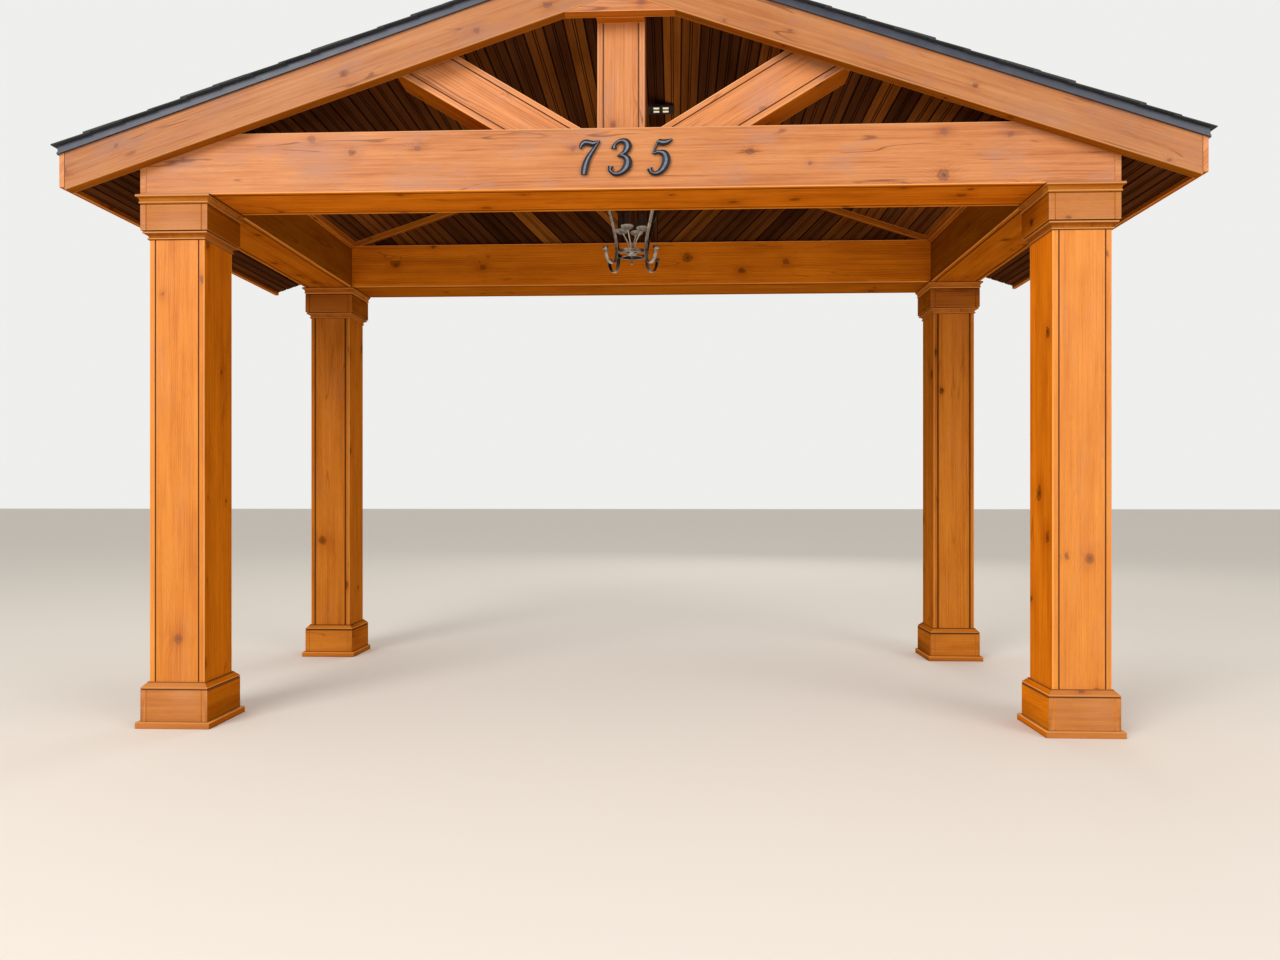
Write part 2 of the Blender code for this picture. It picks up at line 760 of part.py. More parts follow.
def make_lantern():
    centre_y = (front_post_y + back_post_y) / 2
    axis = (0, centre_y, 0)
    rose_top = ceiling_ridge - roof_rise_share * rose_radius - fit_gap
    rose_low = rose_top - rose_height
    hub_top = rose_low - stem_height
    hub_low = hub_top - hub_height
    stem_profile = [
        (0, rose_top),
        (rose_radius, rose_top),
        (rose_radius, rose_top - rose_height / 3),
        (rose_radius / 2, rose_low),
        (stem_radius, rose_low),
        (stem_radius, hub_top),
        (hub_radius, hub_top),
        (hub_radius, hub_low),
        (0, hub_low),
    ]
    place("lantern_stem", screw_mesh("lantern_stem", stem_profile, 32), weathered_bronze, axis)

    crown_top = hub_low - fit_gap
    strap_top = crown_top - boss_height / 2
    hoop_z = strap_top - cage_height
    crown_profile = [
        (0, crown_top),
        (boss_radius, crown_top),
        (boss_radius, crown_top - boss_height),
        (0, crown_top - boss_height),
    ]
    frame = place("lantern_frame", screw_mesh("lantern_frame", crown_profile, 32), weathered_bronze, axis)

    hoop_profile = [
        (hoop_radius, hoop_z + hoop_height / 2),
        (hoop_radius, hoop_z - hoop_height / 2),
        (hoop_radius - hoop_thickness, hoop_z - hoop_height / 2),
        (hoop_radius - hoop_thickness, hoop_z + hoop_height / 2),
    ]
    hoop = screw_mesh("hoop", hoop_profile, 32, closed=True)
    boolean(frame, place("lantern_hoop", hoop, weathered_bronze, axis, None, cutters), "UNION")

    boss_top = hoop_z + boss_height / 2
    boss_low = hoop_z - boss_height / 2
    ball_z = boss_low - finial_height + finial_ball_radius
    ball = ball_points(finial_ball_radius, ball_z)
    boss_profile = [
        (0, boss_top),
        (boss_radius, boss_top),
        (boss_radius * boss_foot_share, boss_low),
        (finial_stem_radius, boss_low),
        (finial_stem_radius, ball[0][1]),
    ]
    boss = screw_mesh("boss", boss_profile + ball, 24)
    boolean(frame, place("lantern_boss", boss, weathered_bronze, axis, None, cutters), "UNION")

    arm_line = [(arm_reach * out, cage_height * up) for out, up in arm_shares]
    arm_points = [(x, hoop_z + z) for x, z in smooth_line(arm_line, curve_steps)]
    strap = bar_mesh("strap", arm_points, strap_thickness / 2, (strap_width - strap_thickness) / 2)
    spoke = bar_mesh("spoke", [(boss_radius / 2, hoop_z), (arm_reach, hoop_z)], spoke_radius)
    roll_half = strap_width / 2 + edge_ease_width
    roll_profile = [
        (0, roll_half),
        (hook_roll_radius, roll_half),
        (hook_roll_radius, -roll_half),
        (0, -roll_half),
    ]
    roll = screw_mesh("hook_roll", roll_profile, 16)
    roll.transform(Matrix.Translation((arm_points[-1][0], 0, arm_points[-1][1])) @ upright)
    for number in range(4):
        turn = Matrix.Rotation(pi / 4 + number * pi / 2, 4, "Z")
        for kind, mesh in (("strap", strap), ("hook_roll", roll), ("spoke", spoke)):
            piece = place(f"lantern_{kind}_{number}", mesh, weathered_bronze, axis, turn, cutters)
            boolean(frame, piece, "UNION")
    make_lantern_candles(axis, boss_top + fit_gap)


def make_lantern_candles(axis, low):
    """Four candle sleeves in bowl-shaped drip pans on bent stems, from one hub on the boss."""
    hub_top = low + candle_hub_height
    hub_profile = [
        (0, hub_top),
        (candle_hub_radius * candle_hub_top_share, hub_top),
        (candle_hub_radius, low),
        (0, low),
    ]
    hub = screw_mesh("lantern_candles", hub_profile, 24)
    candles = place("lantern_candles", hub, pale_enamel, axis)
    pan_low = low + pan_rise_height
    pan_top = pan_low + pan_height
    hollow = bowl_points(pan_radius - pan_wall_thickness, pan_top, pan_low + pan_wall_thickness)
    pan_profile = hollow[::-1] + bowl_points(pan_radius, pan_top, pan_low)
    pan = screw_mesh("pan", pan_profile, 24)
    pan.transform(Matrix.Translation((pan_reach, 0, 0)))
    sleeve_low = pan_low + pan_wall_thickness / 2
    sleeve_profile = [
        (0, sleeve_low + candle_height),
        (candle_radius, sleeve_low + candle_height),
        (candle_radius, sleeve_low),
        (0, sleeve_low),
    ]
    sleeve = screw_mesh("sleeve", sleeve_profile, 16)
    sleeve.transform(Matrix.Translation((pan_reach, 0, 0)))
    foot = (candle_hub_radius * stem_foot_share, low + candle_hub_height / 2)
    knee = (pan_reach * stem_knee_share, hub_top + pan_rise_height / 3)
    head = (pan_reach, pan_top)
    stem = bar_mesh("pan_stem", [foot, knee, head], pan_stem_radius)
    for number in range(4):
        turn = Matrix.Rotation(pan_turn + number * pi / 2, 4, "Z")
        for kind, mesh in (("pan_stem", stem), ("pan", pan), ("sleeve", sleeve)):
            piece = place(f"lantern_{kind}_{number}", mesh, pale_enamel, axis, turn, cutters)
            boolean(candles, piece, "UNION")


def make_vent(roof_cutter):
    """A level vent under the right ceiling slope, on a block cut to the slope, with four recessed cells."""
    middle_y = wall_y - vent_wall_depth
    top = ceiling_ridge - roof_rise_share * (vent_reach + vent_width / 2) - vent_clear_height
    spot = (vent_reach, middle_y, top - vent_height / 2)
    plate = box_mesh("ceiling_vent", vent_width, vent_length, vent_height)
    vent = place("ceiling_vent", plate, vent_black, spot)
    rise = vent_clear_height + roof_rise_share * vent_width
    block = box_mesh("vent_block", vent_block_width, vent_block_length, rise + vent_height)
    block_spot = (vent_reach, middle_y + vent_block_setback_depth, top + rise / 2)
    boolean(vent, place("vent_block", block, vent_black, block_spot, None, cutters), "UNION")
    boolean(vent, roof_cutter)
    cell = box_mesh("vent_cell", vent_cell_width, vent_cell_length, 2 * vent_cell_depth)
    for x_side in (-1, 1):
        for y_side in (-1, 1):
            cell_x = vent_reach + x_side * vent_cell_pitch_width / 2
            cell_y = middle_y + y_side * vent_cell_pitch_length / 2
            name = f"vent_cell_{x_side}_{y_side}"
            piece = place(name, cell, pale_enamel, (cell_x, cell_y, top - vent_height), None, cutters)
            boolean(vent, piece)


over_ceiling = make_roof_cutter()
make_posts(make_wall_cutter())
make_cross_beam("front_beam", front_post_y, over_ceiling)
make_cross_beam("back_beam", back_post_y, over_ceiling)
make_side_beam("side_beam_left", -1, over_ceiling)
make_side_beam("side_beam_right", 1, over_ceiling)
make_truss(over_ceiling, make_sill_cutter())
make_roof_side("left", -1)
make_roof_side("right", 1)
make_ridge_cap()
make_gable_infill()
make_lantern()
make_vent(over_ceiling)
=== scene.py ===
import math
import random
import bpy
import bmesh
from mathutils import Matrix, Vector


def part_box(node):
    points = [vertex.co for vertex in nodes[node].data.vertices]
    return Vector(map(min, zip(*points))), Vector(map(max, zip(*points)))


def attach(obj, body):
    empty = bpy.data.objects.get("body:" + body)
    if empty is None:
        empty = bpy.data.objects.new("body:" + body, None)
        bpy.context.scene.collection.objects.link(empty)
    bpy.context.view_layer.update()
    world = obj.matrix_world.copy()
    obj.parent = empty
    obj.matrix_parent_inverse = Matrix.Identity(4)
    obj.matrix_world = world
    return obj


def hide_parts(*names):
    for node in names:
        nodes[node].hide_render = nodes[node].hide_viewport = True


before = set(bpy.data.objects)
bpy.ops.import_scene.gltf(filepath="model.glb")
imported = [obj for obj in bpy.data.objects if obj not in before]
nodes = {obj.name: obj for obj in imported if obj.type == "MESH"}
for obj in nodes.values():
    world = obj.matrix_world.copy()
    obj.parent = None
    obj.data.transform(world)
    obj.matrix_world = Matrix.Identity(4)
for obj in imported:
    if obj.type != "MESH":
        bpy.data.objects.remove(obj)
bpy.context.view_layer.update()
scene = bpy.context.scene
scene.view_settings.view_transform = "Standard"
print("stage 1: frame loaded,", len(nodes), "nodes")

# the roof's lines, read from the CAD pieces
roof = {"rise": 1 / 3, "seam": 0.0004, "fitGap": 0.0003}  # seam is the gap between boards and what they meet
roof["stretch"] = math.hypot(1, roof["rise"])
roof["tilt"] = math.atan(roof["rise"])
roof["eaveX"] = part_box("ceiling_right")[1].x
roof["beamX"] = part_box("side_beam_right")[1].x + roof["seam"]
roof["ceilingRidge"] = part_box("gable_infill")[1].z + roof["fitGap"]
roof["soffitRidge"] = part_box("ceiling_right")[0].z + roof["eaveX"] * roof["rise"]
roof["deckRidge"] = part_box("roof_deck_right")[1].z
roof["shingleX"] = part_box("shingles_right")[1].x


# small helpers
def newObject(name, data):
    item = bpy.data.objects.new(name, data)
    scene.collection.objects.link(item)
    return item


def openMesh(mesh):
    work = bmesh.new()
    work.from_mesh(mesh)
    return work


def closeMesh(mesh, work):
    work.to_mesh(mesh)
    work.free()
    return mesh


def bmeshToMesh(name, work):
    return closeMesh(bpy.data.meshes.new(name), work)


def weldedCopy(nodeName, suffix):  # of a CAD mesh, with its doubled corners joined
    mesh = nodes[nodeName].data.copy()
    mesh.name = nodeName + suffix
    work = openMesh(mesh)
    bmesh.ops.remove_doubles(work, verts=work.verts, dist=0.00002)
    return mesh, work


def bridgeOutlines(work, near, far):  # a closed solid between two outlines
    work.faces.new(near)
    work.faces.new(list(reversed(far)))
    for index in range(len(near)):
        after = (index + 1) % len(near)
        work.faces.new((near[index], far[index], far[after], near[after]))
    bmesh.ops.recalc_face_normals(work, faces=work.faces)


def plainMesh(item):  # modifiers become the mesh itself
    bpy.context.view_layer.update()
    graph = bpy.context.evaluated_depsgraph_get()
    mesh = bpy.data.meshes.new_from_object(item.evaluated_get(graph), depsgraph=graph)
    item.modifiers.clear()
    item.data = mesh
    return item


def finishPiece(item, replacedNodes=(), body="root"):
    item.data.transform(item.matrix_world)
    item.matrix_world = Matrix.Identity(4)
    if replacedNodes:
        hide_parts(*replacedNodes)
    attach(item, body)
    return item


def smoothByAngle(mesh, degrees):
    mesh.shade_smooth()
    mesh.set_sharp_from_angle(angle=math.radians(degrees))


def writeAttribute(mesh, name, kind, domain, values):
    field = "vector" if kind == "FLOAT_VECTOR" else "value"
    attribute = mesh.attributes.get(name) or mesh.attributes.new(name, kind, domain)
    attribute.data.foreach_set(field, values)


# nodes
def feed(tree, socket, source):  # a socket gets a link or a plain value
    if isinstance(source, bpy.types.NodeSocket):
        tree.links.new(source, socket)
    elif source is not None:
        socket.default_value = (*source, 1.0) if socket.type == "RGBA" else source


# inputs go by place or by name, and values are the node's own settings
def addNode(tree, kind, inputs=None, **values):
    node = tree.nodes.new(kind)
    for key, value in values.items():
        setattr(node, key, value)
    for label, source in (inputs or {}).items():
        if isinstance(label, int):
            socket = node.inputs[label]
        else:
            socket = next(found for found in node.inputs if found.name == label and found.enabled)
        feed(tree, socket, source)
    return node


materials = {}


def makeMaterial(name, paint, look):  # paint gives what goes into each of the shader's sockets
    material = materials[name] = bpy.data.materials.new(name)
    material.use_nodes = True
    tree = material.node_tree
    for label, source in paint(tree, look).items():
        feed(tree, tree.nodes["Principled BSDF"].inputs[label], source)


def readAttribute(tree, name, output="Fac"):
    return addNode(tree, "ShaderNodeAttribute", attribute_name=name).outputs[output]


def mathNode(tree, operation, a, b=None, c=None):
    return addNode(tree, "ShaderNodeMath", {0: a, 1: b, 2: c}, operation=operation).outputs[0]


def scaledSum(tree, a, b, c):  # a times b, plus c
    return mathNode(tree, "MULTIPLY_ADD", a, b, c)


def splitVector(tree, source):
    return addNode(tree, "ShaderNodeSeparateXYZ", {0: source}).outputs


def objectPlace(tree):
    return addNode(tree, "ShaderNodeTexCoord").outputs["Object"]


def boardPlace(tree):  # a point in its own board, moved so that no two boards match
    return vectorNode(tree, "ADD", readAttribute(tree, "grain", "Vector"), readAttribute(tree, "boardShift", "Vector"))


def vectorNode(tree, operation, a, b=None):
    return addNode(tree, "ShaderNodeVectorMath", {0: a, 1: b}, operation=operation).outputs[0]


def noiseNode(tree, vector, scale, detail=2.0, roughness=0.5, output="Fac"):
    inputs = {"Vector": vector, "Scale": scale, "Detail": detail, "Roughness": roughness}
    return addNode(tree, "ShaderNodeTexNoise", inputs).outputs[output]


# along and across give the features in a metre of board
def grainNoise(tree, place, along, across, detail=2.0, roughness=0.5):
    return noiseNode(tree, vectorNode(tree, "MULTIPLY", place, (along, across, across)), 1.0, detail, roughness)


def rangeNode(tree, value, fromLow, fromHigh, toLow=0.0, toHigh=1.0, smooth=False):
    inputs = {"Value": value, "From Min": fromLow, "From Max": fromHigh, "To Min": toLow, "To Max": toHigh}
    kind = "SMOOTHSTEP" if smooth else "LINEAR"
    return addNode(tree, "ShaderNodeMapRange", inputs, interpolation_type=kind).outputs["Result"]


def rampNode(tree, value, stops):
    node = addNode(tree, "ShaderNodeValToRGB", {"Fac": value})
    elements = node.color_ramp.elements
    while len(elements) < len(stops):
        elements.new(0.5)
    for element, (position, colour) in zip(elements, stops):
        element.position = position
        element.color = (*colour, 1.0)
    return node.outputs["Color"]


def mixColour(tree, factor, a, b, blend="MIX"):
    inputs = {0: factor, 6: a, 7: b}
    return addNode(tree, "ShaderNodeMix", inputs, data_type="RGBA", blend_type=blend).outputs[2]


def bumpNode(tree, height, strength, distance, before=None):
    inputs = {"Strength": strength, "Distance": distance, "Height": height, "Normal": before}
    return addNode(tree, "ShaderNodeBump", inputs).outputs["Normal"]


# stained cedar: straight grain that closes round the knots, faded patches, hairline checks,
# eased edges with a painted highlight, joints darkened partly as painted shade, painted shade on shaded faces
cedarLooks = {
    "face_cedar": {
        "pale": (0.680, 0.300, 0.118),
        "warm": (0.560, 0.205, 0.066),
        "brown": (0.345, 0.098, 0.028),
        "faded": (0.470, 0.215, 0.128),
        "shadedRich": (0.620, 0.176, 0.008),
        "shadedRichDark": (0.320, 0.070, 0.002),
        "knot": (0.235, 0.100, 0.066),
        "knotHeart": (0.080, 0.026, 0.012),
        "check": (0.150, 0.042, 0.016),
        "eased": (0.800, 0.410, 0.185),
        "joint": (0.150, 0.048, 0.018),
        "jointReach": 0.0025,
        "roughness": 0.50,
        "specular": 0.18,
        "ringsPerMetre": 80.0,
        "ringWeight": 0.30,
        "streakWeight": 0.36,
        "knotsPerMetre": 4.6,
        "knotPick": 0.46,
        "knotSmallest": 0.026,
        "knotLargest": 0.082,
        "fading": 0.75,
        "checks": 0.60,
    },
    "post_cedar": {
        "pale": (0.800, 0.300, 0.050),
        "warm": (0.660, 0.212, 0.028),
        "brown": (0.430, 0.104, 0.013),
        "faded": (0.520, 0.222, 0.112),
        "shadedRich": (0.620, 0.172, 0.006),
        "shadedRichDark": (0.330, 0.070, 0.002),
        "knot": (0.230, 0.082, 0.036),
        "knotHeart": (0.080, 0.024, 0.010),
        "check": (0.200, 0.050, 0.010),
        "eased": (0.860, 0.390, 0.105),
        "joint": (0.155, 0.042, 0.010),
        "jointReach": 0.0022,
        "roughness": 0.46,
        "specular": 0.18,
        "ringsPerMetre": 95.0,
        "ringWeight": 0.16,
        "streakWeight": 0.20,
        "knotsPerMetre": 4.2,
        "knotPick": 0.56,
        "knotSmallest": 0.026,
        "knotLargest": 0.082,
        "fading": 0.20,
        "checks": 0.10,
    },
}

# painted shade: the shaded copy of each cedar for faces in shade, with a deeper colour,
# darker knots and joints, a brighter painted edge highlight and no sheen
cedarShade = {
    "knot": (0.130, 0.034, 0.004),
    "knotHeart": (0.040, 0.010, 0.002),
    "check": (0.110, 0.026, 0.003),
    "eased": (0.950, 0.420, 0.110),
    "joint": (0.040, 0.010, 0.002),
    "jointReach": 0.0065,
    "specular": 0.0,
    "ringWeight": 0.36,
    "streakWeight": 0.24,
    "knotPick": 0.44,
    "knotLargest": 0.110,
    "checks": 0.35,
}


def woodPaint(tree, look):
    place = boardPlace(tree)
    # each face's depth of painted shade, its lift (painted light or shade, as a brightness factor) and its fading
    paintedShadeDepth, lift, fading = splitVector(tree, readAttribute(tree, "stainAndShade", "Vector"))

    def grained(along, across, detail=2.0, roughness=0.5):
        return grainNoise(tree, place, along, across, detail, roughness)

    def times(a, b):
        return mathNode(tree, "MULTIPLY", a, b)

    # knots in round cells pushed out of true, only some of them kept
    push = vectorNode(tree, "MULTIPLY", noiseNode(tree, place, 34.0, output="Color"), (0.030, 0.022, 0.0))
    pushed = vectorNode(tree, "MULTIPLY", vectorNode(tree, "ADD", place, push), (0.82, 1.0, 0.0))
    inputs = {"Vector": pushed, "Scale": look["knotsPerMetre"]}
    knotCells = addNode(tree, "ShaderNodeTexVoronoi", inputs, voronoi_dimensions="2D", feature="F1").outputs
    pick = addNode(tree, "ShaderNodeSeparateColor", {0: knotCells["Color"]}).outputs
    kept = mathNode(tree, "GREATER_THAN", pick[0], look["knotPick"])
    knotSize = rangeNode(tree, pick[1], 0.0, 1.0, look["knotSmallest"], look["knotLargest"])
    knotShare = mathNode(tree, "DIVIDE", knotCells["Distance"], knotSize)
    hard = rangeNode(tree, pick[2], 0.35, 0.95)
    knotCore = times(rangeNode(tree, knotShare, 1.05, 0.65, 0.0, 1.0, True), kept)
    knotHeart = times(times(rangeNode(tree, knotShare, 0.55, 0.20), kept), hard)
    knotEdge = mathNode(tree, "ABSOLUTE", mathNode(tree, "SUBTRACT", knotShare, 0.95))
    knotRim = times(times(rangeNode(tree, knotEdge, 0.24, 0.0), kept), hard)
    knotHalo = times(mathNode(tree, "POWER", rangeNode(tree, knotShare, 5.0, 0.0, 0.0, 1.0), 2.2), kept)

    # growth rings, strong in some places and lost in others
    ringField = times(splitVector(tree, place)[1], look["ringsPerMetre"])
    ringField = scaledSum(tree, grained(0.55, 3.2), 12.0, ringField)
    ringField = scaledSum(tree, grained(3.5, 20.0), 0.55, ringField)
    ringField = scaledSum(tree, knotHalo, 5.0, ringField)
    saw = mathNode(tree, "FRACT", ringField)  # late wood darkens towards each ring's edge
    lateWood = times(mathNode(tree, "POWER", saw, 2.6), rangeNode(tree, saw, 1.0, 0.88, 0.0, 1.0))
    lateWood = times(lateWood, rangeNode(tree, grained(0.9, 6.0), 0.40, 0.62))

    fibre = grained(4.5, 250.0, 4.0, 0.62)
    streak = grained(1.6, 74.0, 3.0, 0.6)
    band = grained(0.6, 20.0)
    blotch = grained(2.8, 11.0, 4.0, 0.6)
    depth = times(rangeNode(tree, fibre, 0.26, 0.74), 0.26)
    depth = scaledSum(tree, rangeNode(tree, streak, 0.32, 0.70), look["streakWeight"], depth)
    depth = scaledSum(tree, rangeNode(tree, band, 0.34, 0.66), 0.16, depth)
    depth = scaledSum(tree, rangeNode(tree, blotch, 0.32, 0.70), 0.26, depth)
    depth = scaledSum(tree, readAttribute(tree, "tone"), 0.18, depth)
    depth = scaledSum(tree, lateWood, look["ringWeight"], depth)
    depth = scaledSum(tree, knotHalo, 0.30, depth)

    # the sunned ramp is the lit colour and the shaded ramp a painted shade colour, mixed by each face's depth of
    # painted shade
    sunned = rampNode(tree, depth, [(0.14, look["pale"]), (0.60, look["warm"]), (1.0, look["brown"])])
    patches = times(rangeNode(tree, grained(3.2, 9.0, 4.0, 0.62), 0.50, 0.70), look["fading"])
    sunned = mixColour(tree, mathNode(tree, "MAXIMUM", patches, fading), sunned, look["faded"])
    shaded = rampNode(tree, depth, [(0.25, look["shadedRich"]), (0.92, look["shadedRichDark"])])
    colour = mixColour(tree, paintedShadeDepth, sunned, shaded)

    # pores, hairline checks along the grain, knots
    poreMarks = rangeNode(tree, grained(20.0, 560.0), 0.60, 0.72)
    colour = mixColour(tree, times(poreMarks, 0.35), colour, look["knot"])
    checkLine = mathNode(tree, "ABSOLUTE", mathNode(tree, "SUBTRACT", grained(1.5, 15.0, 1.0), 0.5))
    checks = times(rangeNode(tree, checkLine, 0.016, 0.005), rangeNode(tree, grained(3.0, 14.0), 0.55, 0.60))
    colour = mixColour(tree, times(checks, look["checks"]), colour, look["check"])
    colour = mixColour(tree, times(knotCore, 0.62), colour, look["knot"])
    colour = mixColour(tree, times(knotHeart, 0.75), colour, look["knotHeart"])
    colour = mixColour(tree, times(knotRim, 0.70), colour, look["knotHeart"])

    # board edges: eased ones get a painted highlight; joints, notches and shadow gaps are darkened,
    # partly as dark joints and partly as painted shade
    reach = splitVector(tree, readAttribute(tree, "rims", "Vector"))
    kinds = splitVector(tree, readAttribute(tree, "rimKinds", "Vector"))
    eased = joint = None
    for side in (0, 1):
        wearAndHighlight = mathNode(tree, "MAXIMUM", kinds[side], 0.0)
        tight = mathNode(tree, "MAXIMUM", times(kinds[side], -1.0), 0.0)
        pale = times(rangeNode(tree, reach[side], 0.0034, 0.0008), wearAndHighlight)
        dark = times(rangeNode(tree, reach[side], look["jointReach"], 0.0006), tight)
        eased = pale if side == 0 else mathNode(tree, "MAXIMUM", eased, pale)
        joint = dark if side == 0 else mathNode(tree, "MAXIMUM", joint, dark)
    colour = mixColour(tree, times(eased, rangeNode(tree, streak, 0.30, 0.62, 0.30, 0.80)), colour, look["eased"])
    # hollow narrow faces are darkened too: dark joints, and painted shade in notches and shadow gaps
    dark = mathNode(tree, "MAXIMUM", times(joint, 0.70), times(readAttribute(tree, "grooveShade"), 0.90))
    colour = mixColour(tree, dark, colour, look["joint"])
    # the lift scales the colour: painted light where it is over one, painted shade where under
    paintedLightColour = addNode(tree, "ShaderNodeVectorMath", {0: colour, "Scale": lift}, operation="SCALE")

    normal = bumpNode(tree, lateWood, 0.22, 0.0012)
    normal = bumpNode(tree, fibre, 0.30, 0.0010, normal)
    normal = bumpNode(tree, mathNode(tree, "MAXIMUM", knotRim, checks), 0.35, -0.0012, normal)
    return {
        "Base Color": paintedLightColour.outputs[0],
        "Specular IOR Level": look["specular"],
        "Roughness": scaledSum(tree, fibre, 0.22, look["roughness"] - 0.11),
        "Normal": normal,
    }


for name, look in cedarLooks.items():
    makeMaterial(name, woodPaint, look)
    makeMaterial(name + "_shade", woodPaint, {**look, **cedarShade})

beadLook = {
    "tones": [
        (0.00, (0.054, 0.018, 0.006)),
        (0.40, (0.112, 0.035, 0.009)),
        (0.66, (0.185, 0.058, 0.010)),
        (0.84, (0.300, 0.098, 0.014)),
        (1.00, (0.560, 0.190, 0.020)),
    ],
    "grooveShade": (0.012, 0.006, 0.004),
    "roughness": 0.55,
    "specular": 0.0,
}


def beadboardPaint(tree, look):  # dark stained boards, darkened further as painted shade, some of them still orange
    place = boardPlace(tree)
    fibre = grainNoise(tree, place, 5.0, 240.0, 4.0, 0.6)
    streak = grainNoise(tree, place, 1.1, 42.0, 3.0, 0.6)
    blotch = grainNoise(tree, place, 2.0, 9.0, 2.0, 0.5)
    colour = rampNode(tree, readAttribute(tree, "tone"), look["tones"])
    shade = scaledSum(tree, fibre, 0.55, mathNode(tree, "MULTIPLY", streak, 0.75))
    shade = scaledSum(tree, blotch, 0.55, shade)
    dark = mixColour(tree, rangeNode(tree, shade, 0.62, 1.35), (0.55, 0.50, 0.46), (1.55, 1.60, 1.70))
    colour = mixColour(tree, 1.0, colour, dark, "MULTIPLY")
    # groove and recess faces darkened: dark joints and partly painted shade
    grooveShadeMask = mathNode(tree, "MULTIPLY", readAttribute(tree, "grooveShade"), 0.8)
    colour = mixColour(tree, grooveShadeMask, colour, look["grooveShade"])
    return {
        "Base Color": colour,
        "Specular IOR Level": look["specular"],
        "Roughness": scaledSum(tree, fibre, 0.24, look["roughness"] - 0.12),
        "Normal": bumpNode(tree, fibre, 0.25, 0.0010),
    }


makeMaterial("dark_beadboard", beadboardPaint, beadLook)

framingLook = {"pale": (0.520, 0.365, 0.205), "dark": (0.300, 0.185, 0.090), "roughness": 0.82}


def framingPaint(tree, look):  # rough sawn sheathing with saw marks
    place = readAttribute(tree, "grain", "Vector")
    fibre = grainNoise(tree, place, 6.0, 180.0, 4.0, 0.65)
    blotch = grainNoise(tree, place, 2.0, 12.0, 3.0, 0.6)
    sawMarks = grainNoise(tree, place, 340.0, 6.0, 1.0, 0.5)
    shade = scaledSum(tree, fibre, 0.6, mathNode(tree, "MULTIPLY", blotch, 0.5))
    return {
        "Base Color": rampNode(tree, shade, [(0.35, look["pale"]), (0.75, look["dark"])]),
        "Roughness": scaledSum(tree, fibre, 0.15, look["roughness"] - 0.08),
        "Normal": bumpNode(tree, sawMarks, 0.3, 0.001, bumpNode(tree, fibre, 0.4, 0.001)),
    }


makeMaterial("roof_framing", framingPaint, framingLook)

shingleLook = {
    "dark": (0.016, 0.017, 0.018),
    "mid": (0.040, 0.042, 0.042),
    "pale": (0.085, 0.092, 0.078),
    "speck": (0.230, 0.235, 0.215),
    "roughness": 0.93,
}


def shinglePaint(tree, look):  # mineral granules on dark asphalt, each tab its own tone
    place = objectPlace(tree)
    granules = noiseNode(tree, place, 950.0, 2.0, 0.6)
    coarse = noiseNode(tree, place, 160.0, 3.0, 0.6)
    weather = noiseNode(tree, place, 3.5, 3.0, 0.6)
    tone = scaledSum(tree, coarse, 0.42, 0.06)
    tone = scaledSum(tree, readAttribute(tree, "tone"), 0.30, tone)
    tone = scaledSum(tree, weather, 0.34, tone)
    colour = rampNode(tree, tone, [(0.30, look["dark"]), (0.62, look["mid"]), (0.92, look["pale"])])
    specks = mathNode(tree, "MULTIPLY", rangeNode(tree, granules, 0.60, 0.76), 0.55)
    colour = mixColour(tree, specks, colour, look["speck"])
    return {
        "Base Color": colour,
        "Roughness": look["roughness"],
        "Normal": bumpNode(tree, granules, 0.8, 0.0015, bumpNode(tree, coarse, 0.5, 0.002)),
    }


makeMaterial("asphalt_shingle", shinglePaint, shingleLook)

metalLooks = {
    "edge_metal": {
        "main": (0.028, 0.032, 0.050), "wornAndSheen": (0.052, 0.058, 0.082),
        "metallic": 0.0, "roughness": 0.46, "scale": 14.0,
    },
    "weathered_bronze": {
        "main": (0.055, 0.044, 0.035), "wornAndSheen": (0.600, 0.540, 0.455),
        "metallic": 0.75, "roughness": 0.30, "scale": 34.0,
    },
    "vent_black": {
        "main": (0.018, 0.017, 0.018), "wornAndSheen": (0.040, 0.038, 0.036),
        "metallic": 0.0, "roughness": 0.48, "scale": 60.0,
    },
}


def metalPaint(tree, look):  # a coat with blotches, lighter in places: partly wear, partly a painted highlight
    place = objectPlace(tree)
    blotch = noiseNode(tree, place, look["scale"], 4.0, 0.62)
    fine = noiseNode(tree, place, look["scale"] * 14, 3.0, 0.6)
    wornAndSheen = scaledSum(tree, fine, 0.35, mathNode(tree, "MULTIPLY", blotch, 0.85))
    wornAndSheen = scaledSum(tree, readAttribute(tree, "wearAndHighlight"), 0.42, wornAndSheen)  # a painted highlight on what faces up, down and out
    colour = mixColour(tree, rangeNode(tree, wornAndSheen, 0.56, 0.96), look["main"], look["wornAndSheen"])
    return {
        "Base Color": colour,
        "Metallic": look["metallic"],
        "Roughness": scaledSum(tree, blotch, 0.26, look["roughness"] - 0.12),
        "Normal": bumpNode(tree, fine, 0.12, 0.0006),
    }


for name, look in metalLooks.items():
    makeMaterial(name, metalPaint, look)

enamelLook = {
    "pan": (0.520, 0.490, 0.410),
    "stainAndShade": (0.090, 0.078, 0.060),
    "stem": (0.640, 0.590, 0.500),
    "bronze": (0.060, 0.050, 0.042),
    "roughness": 0.40,
}


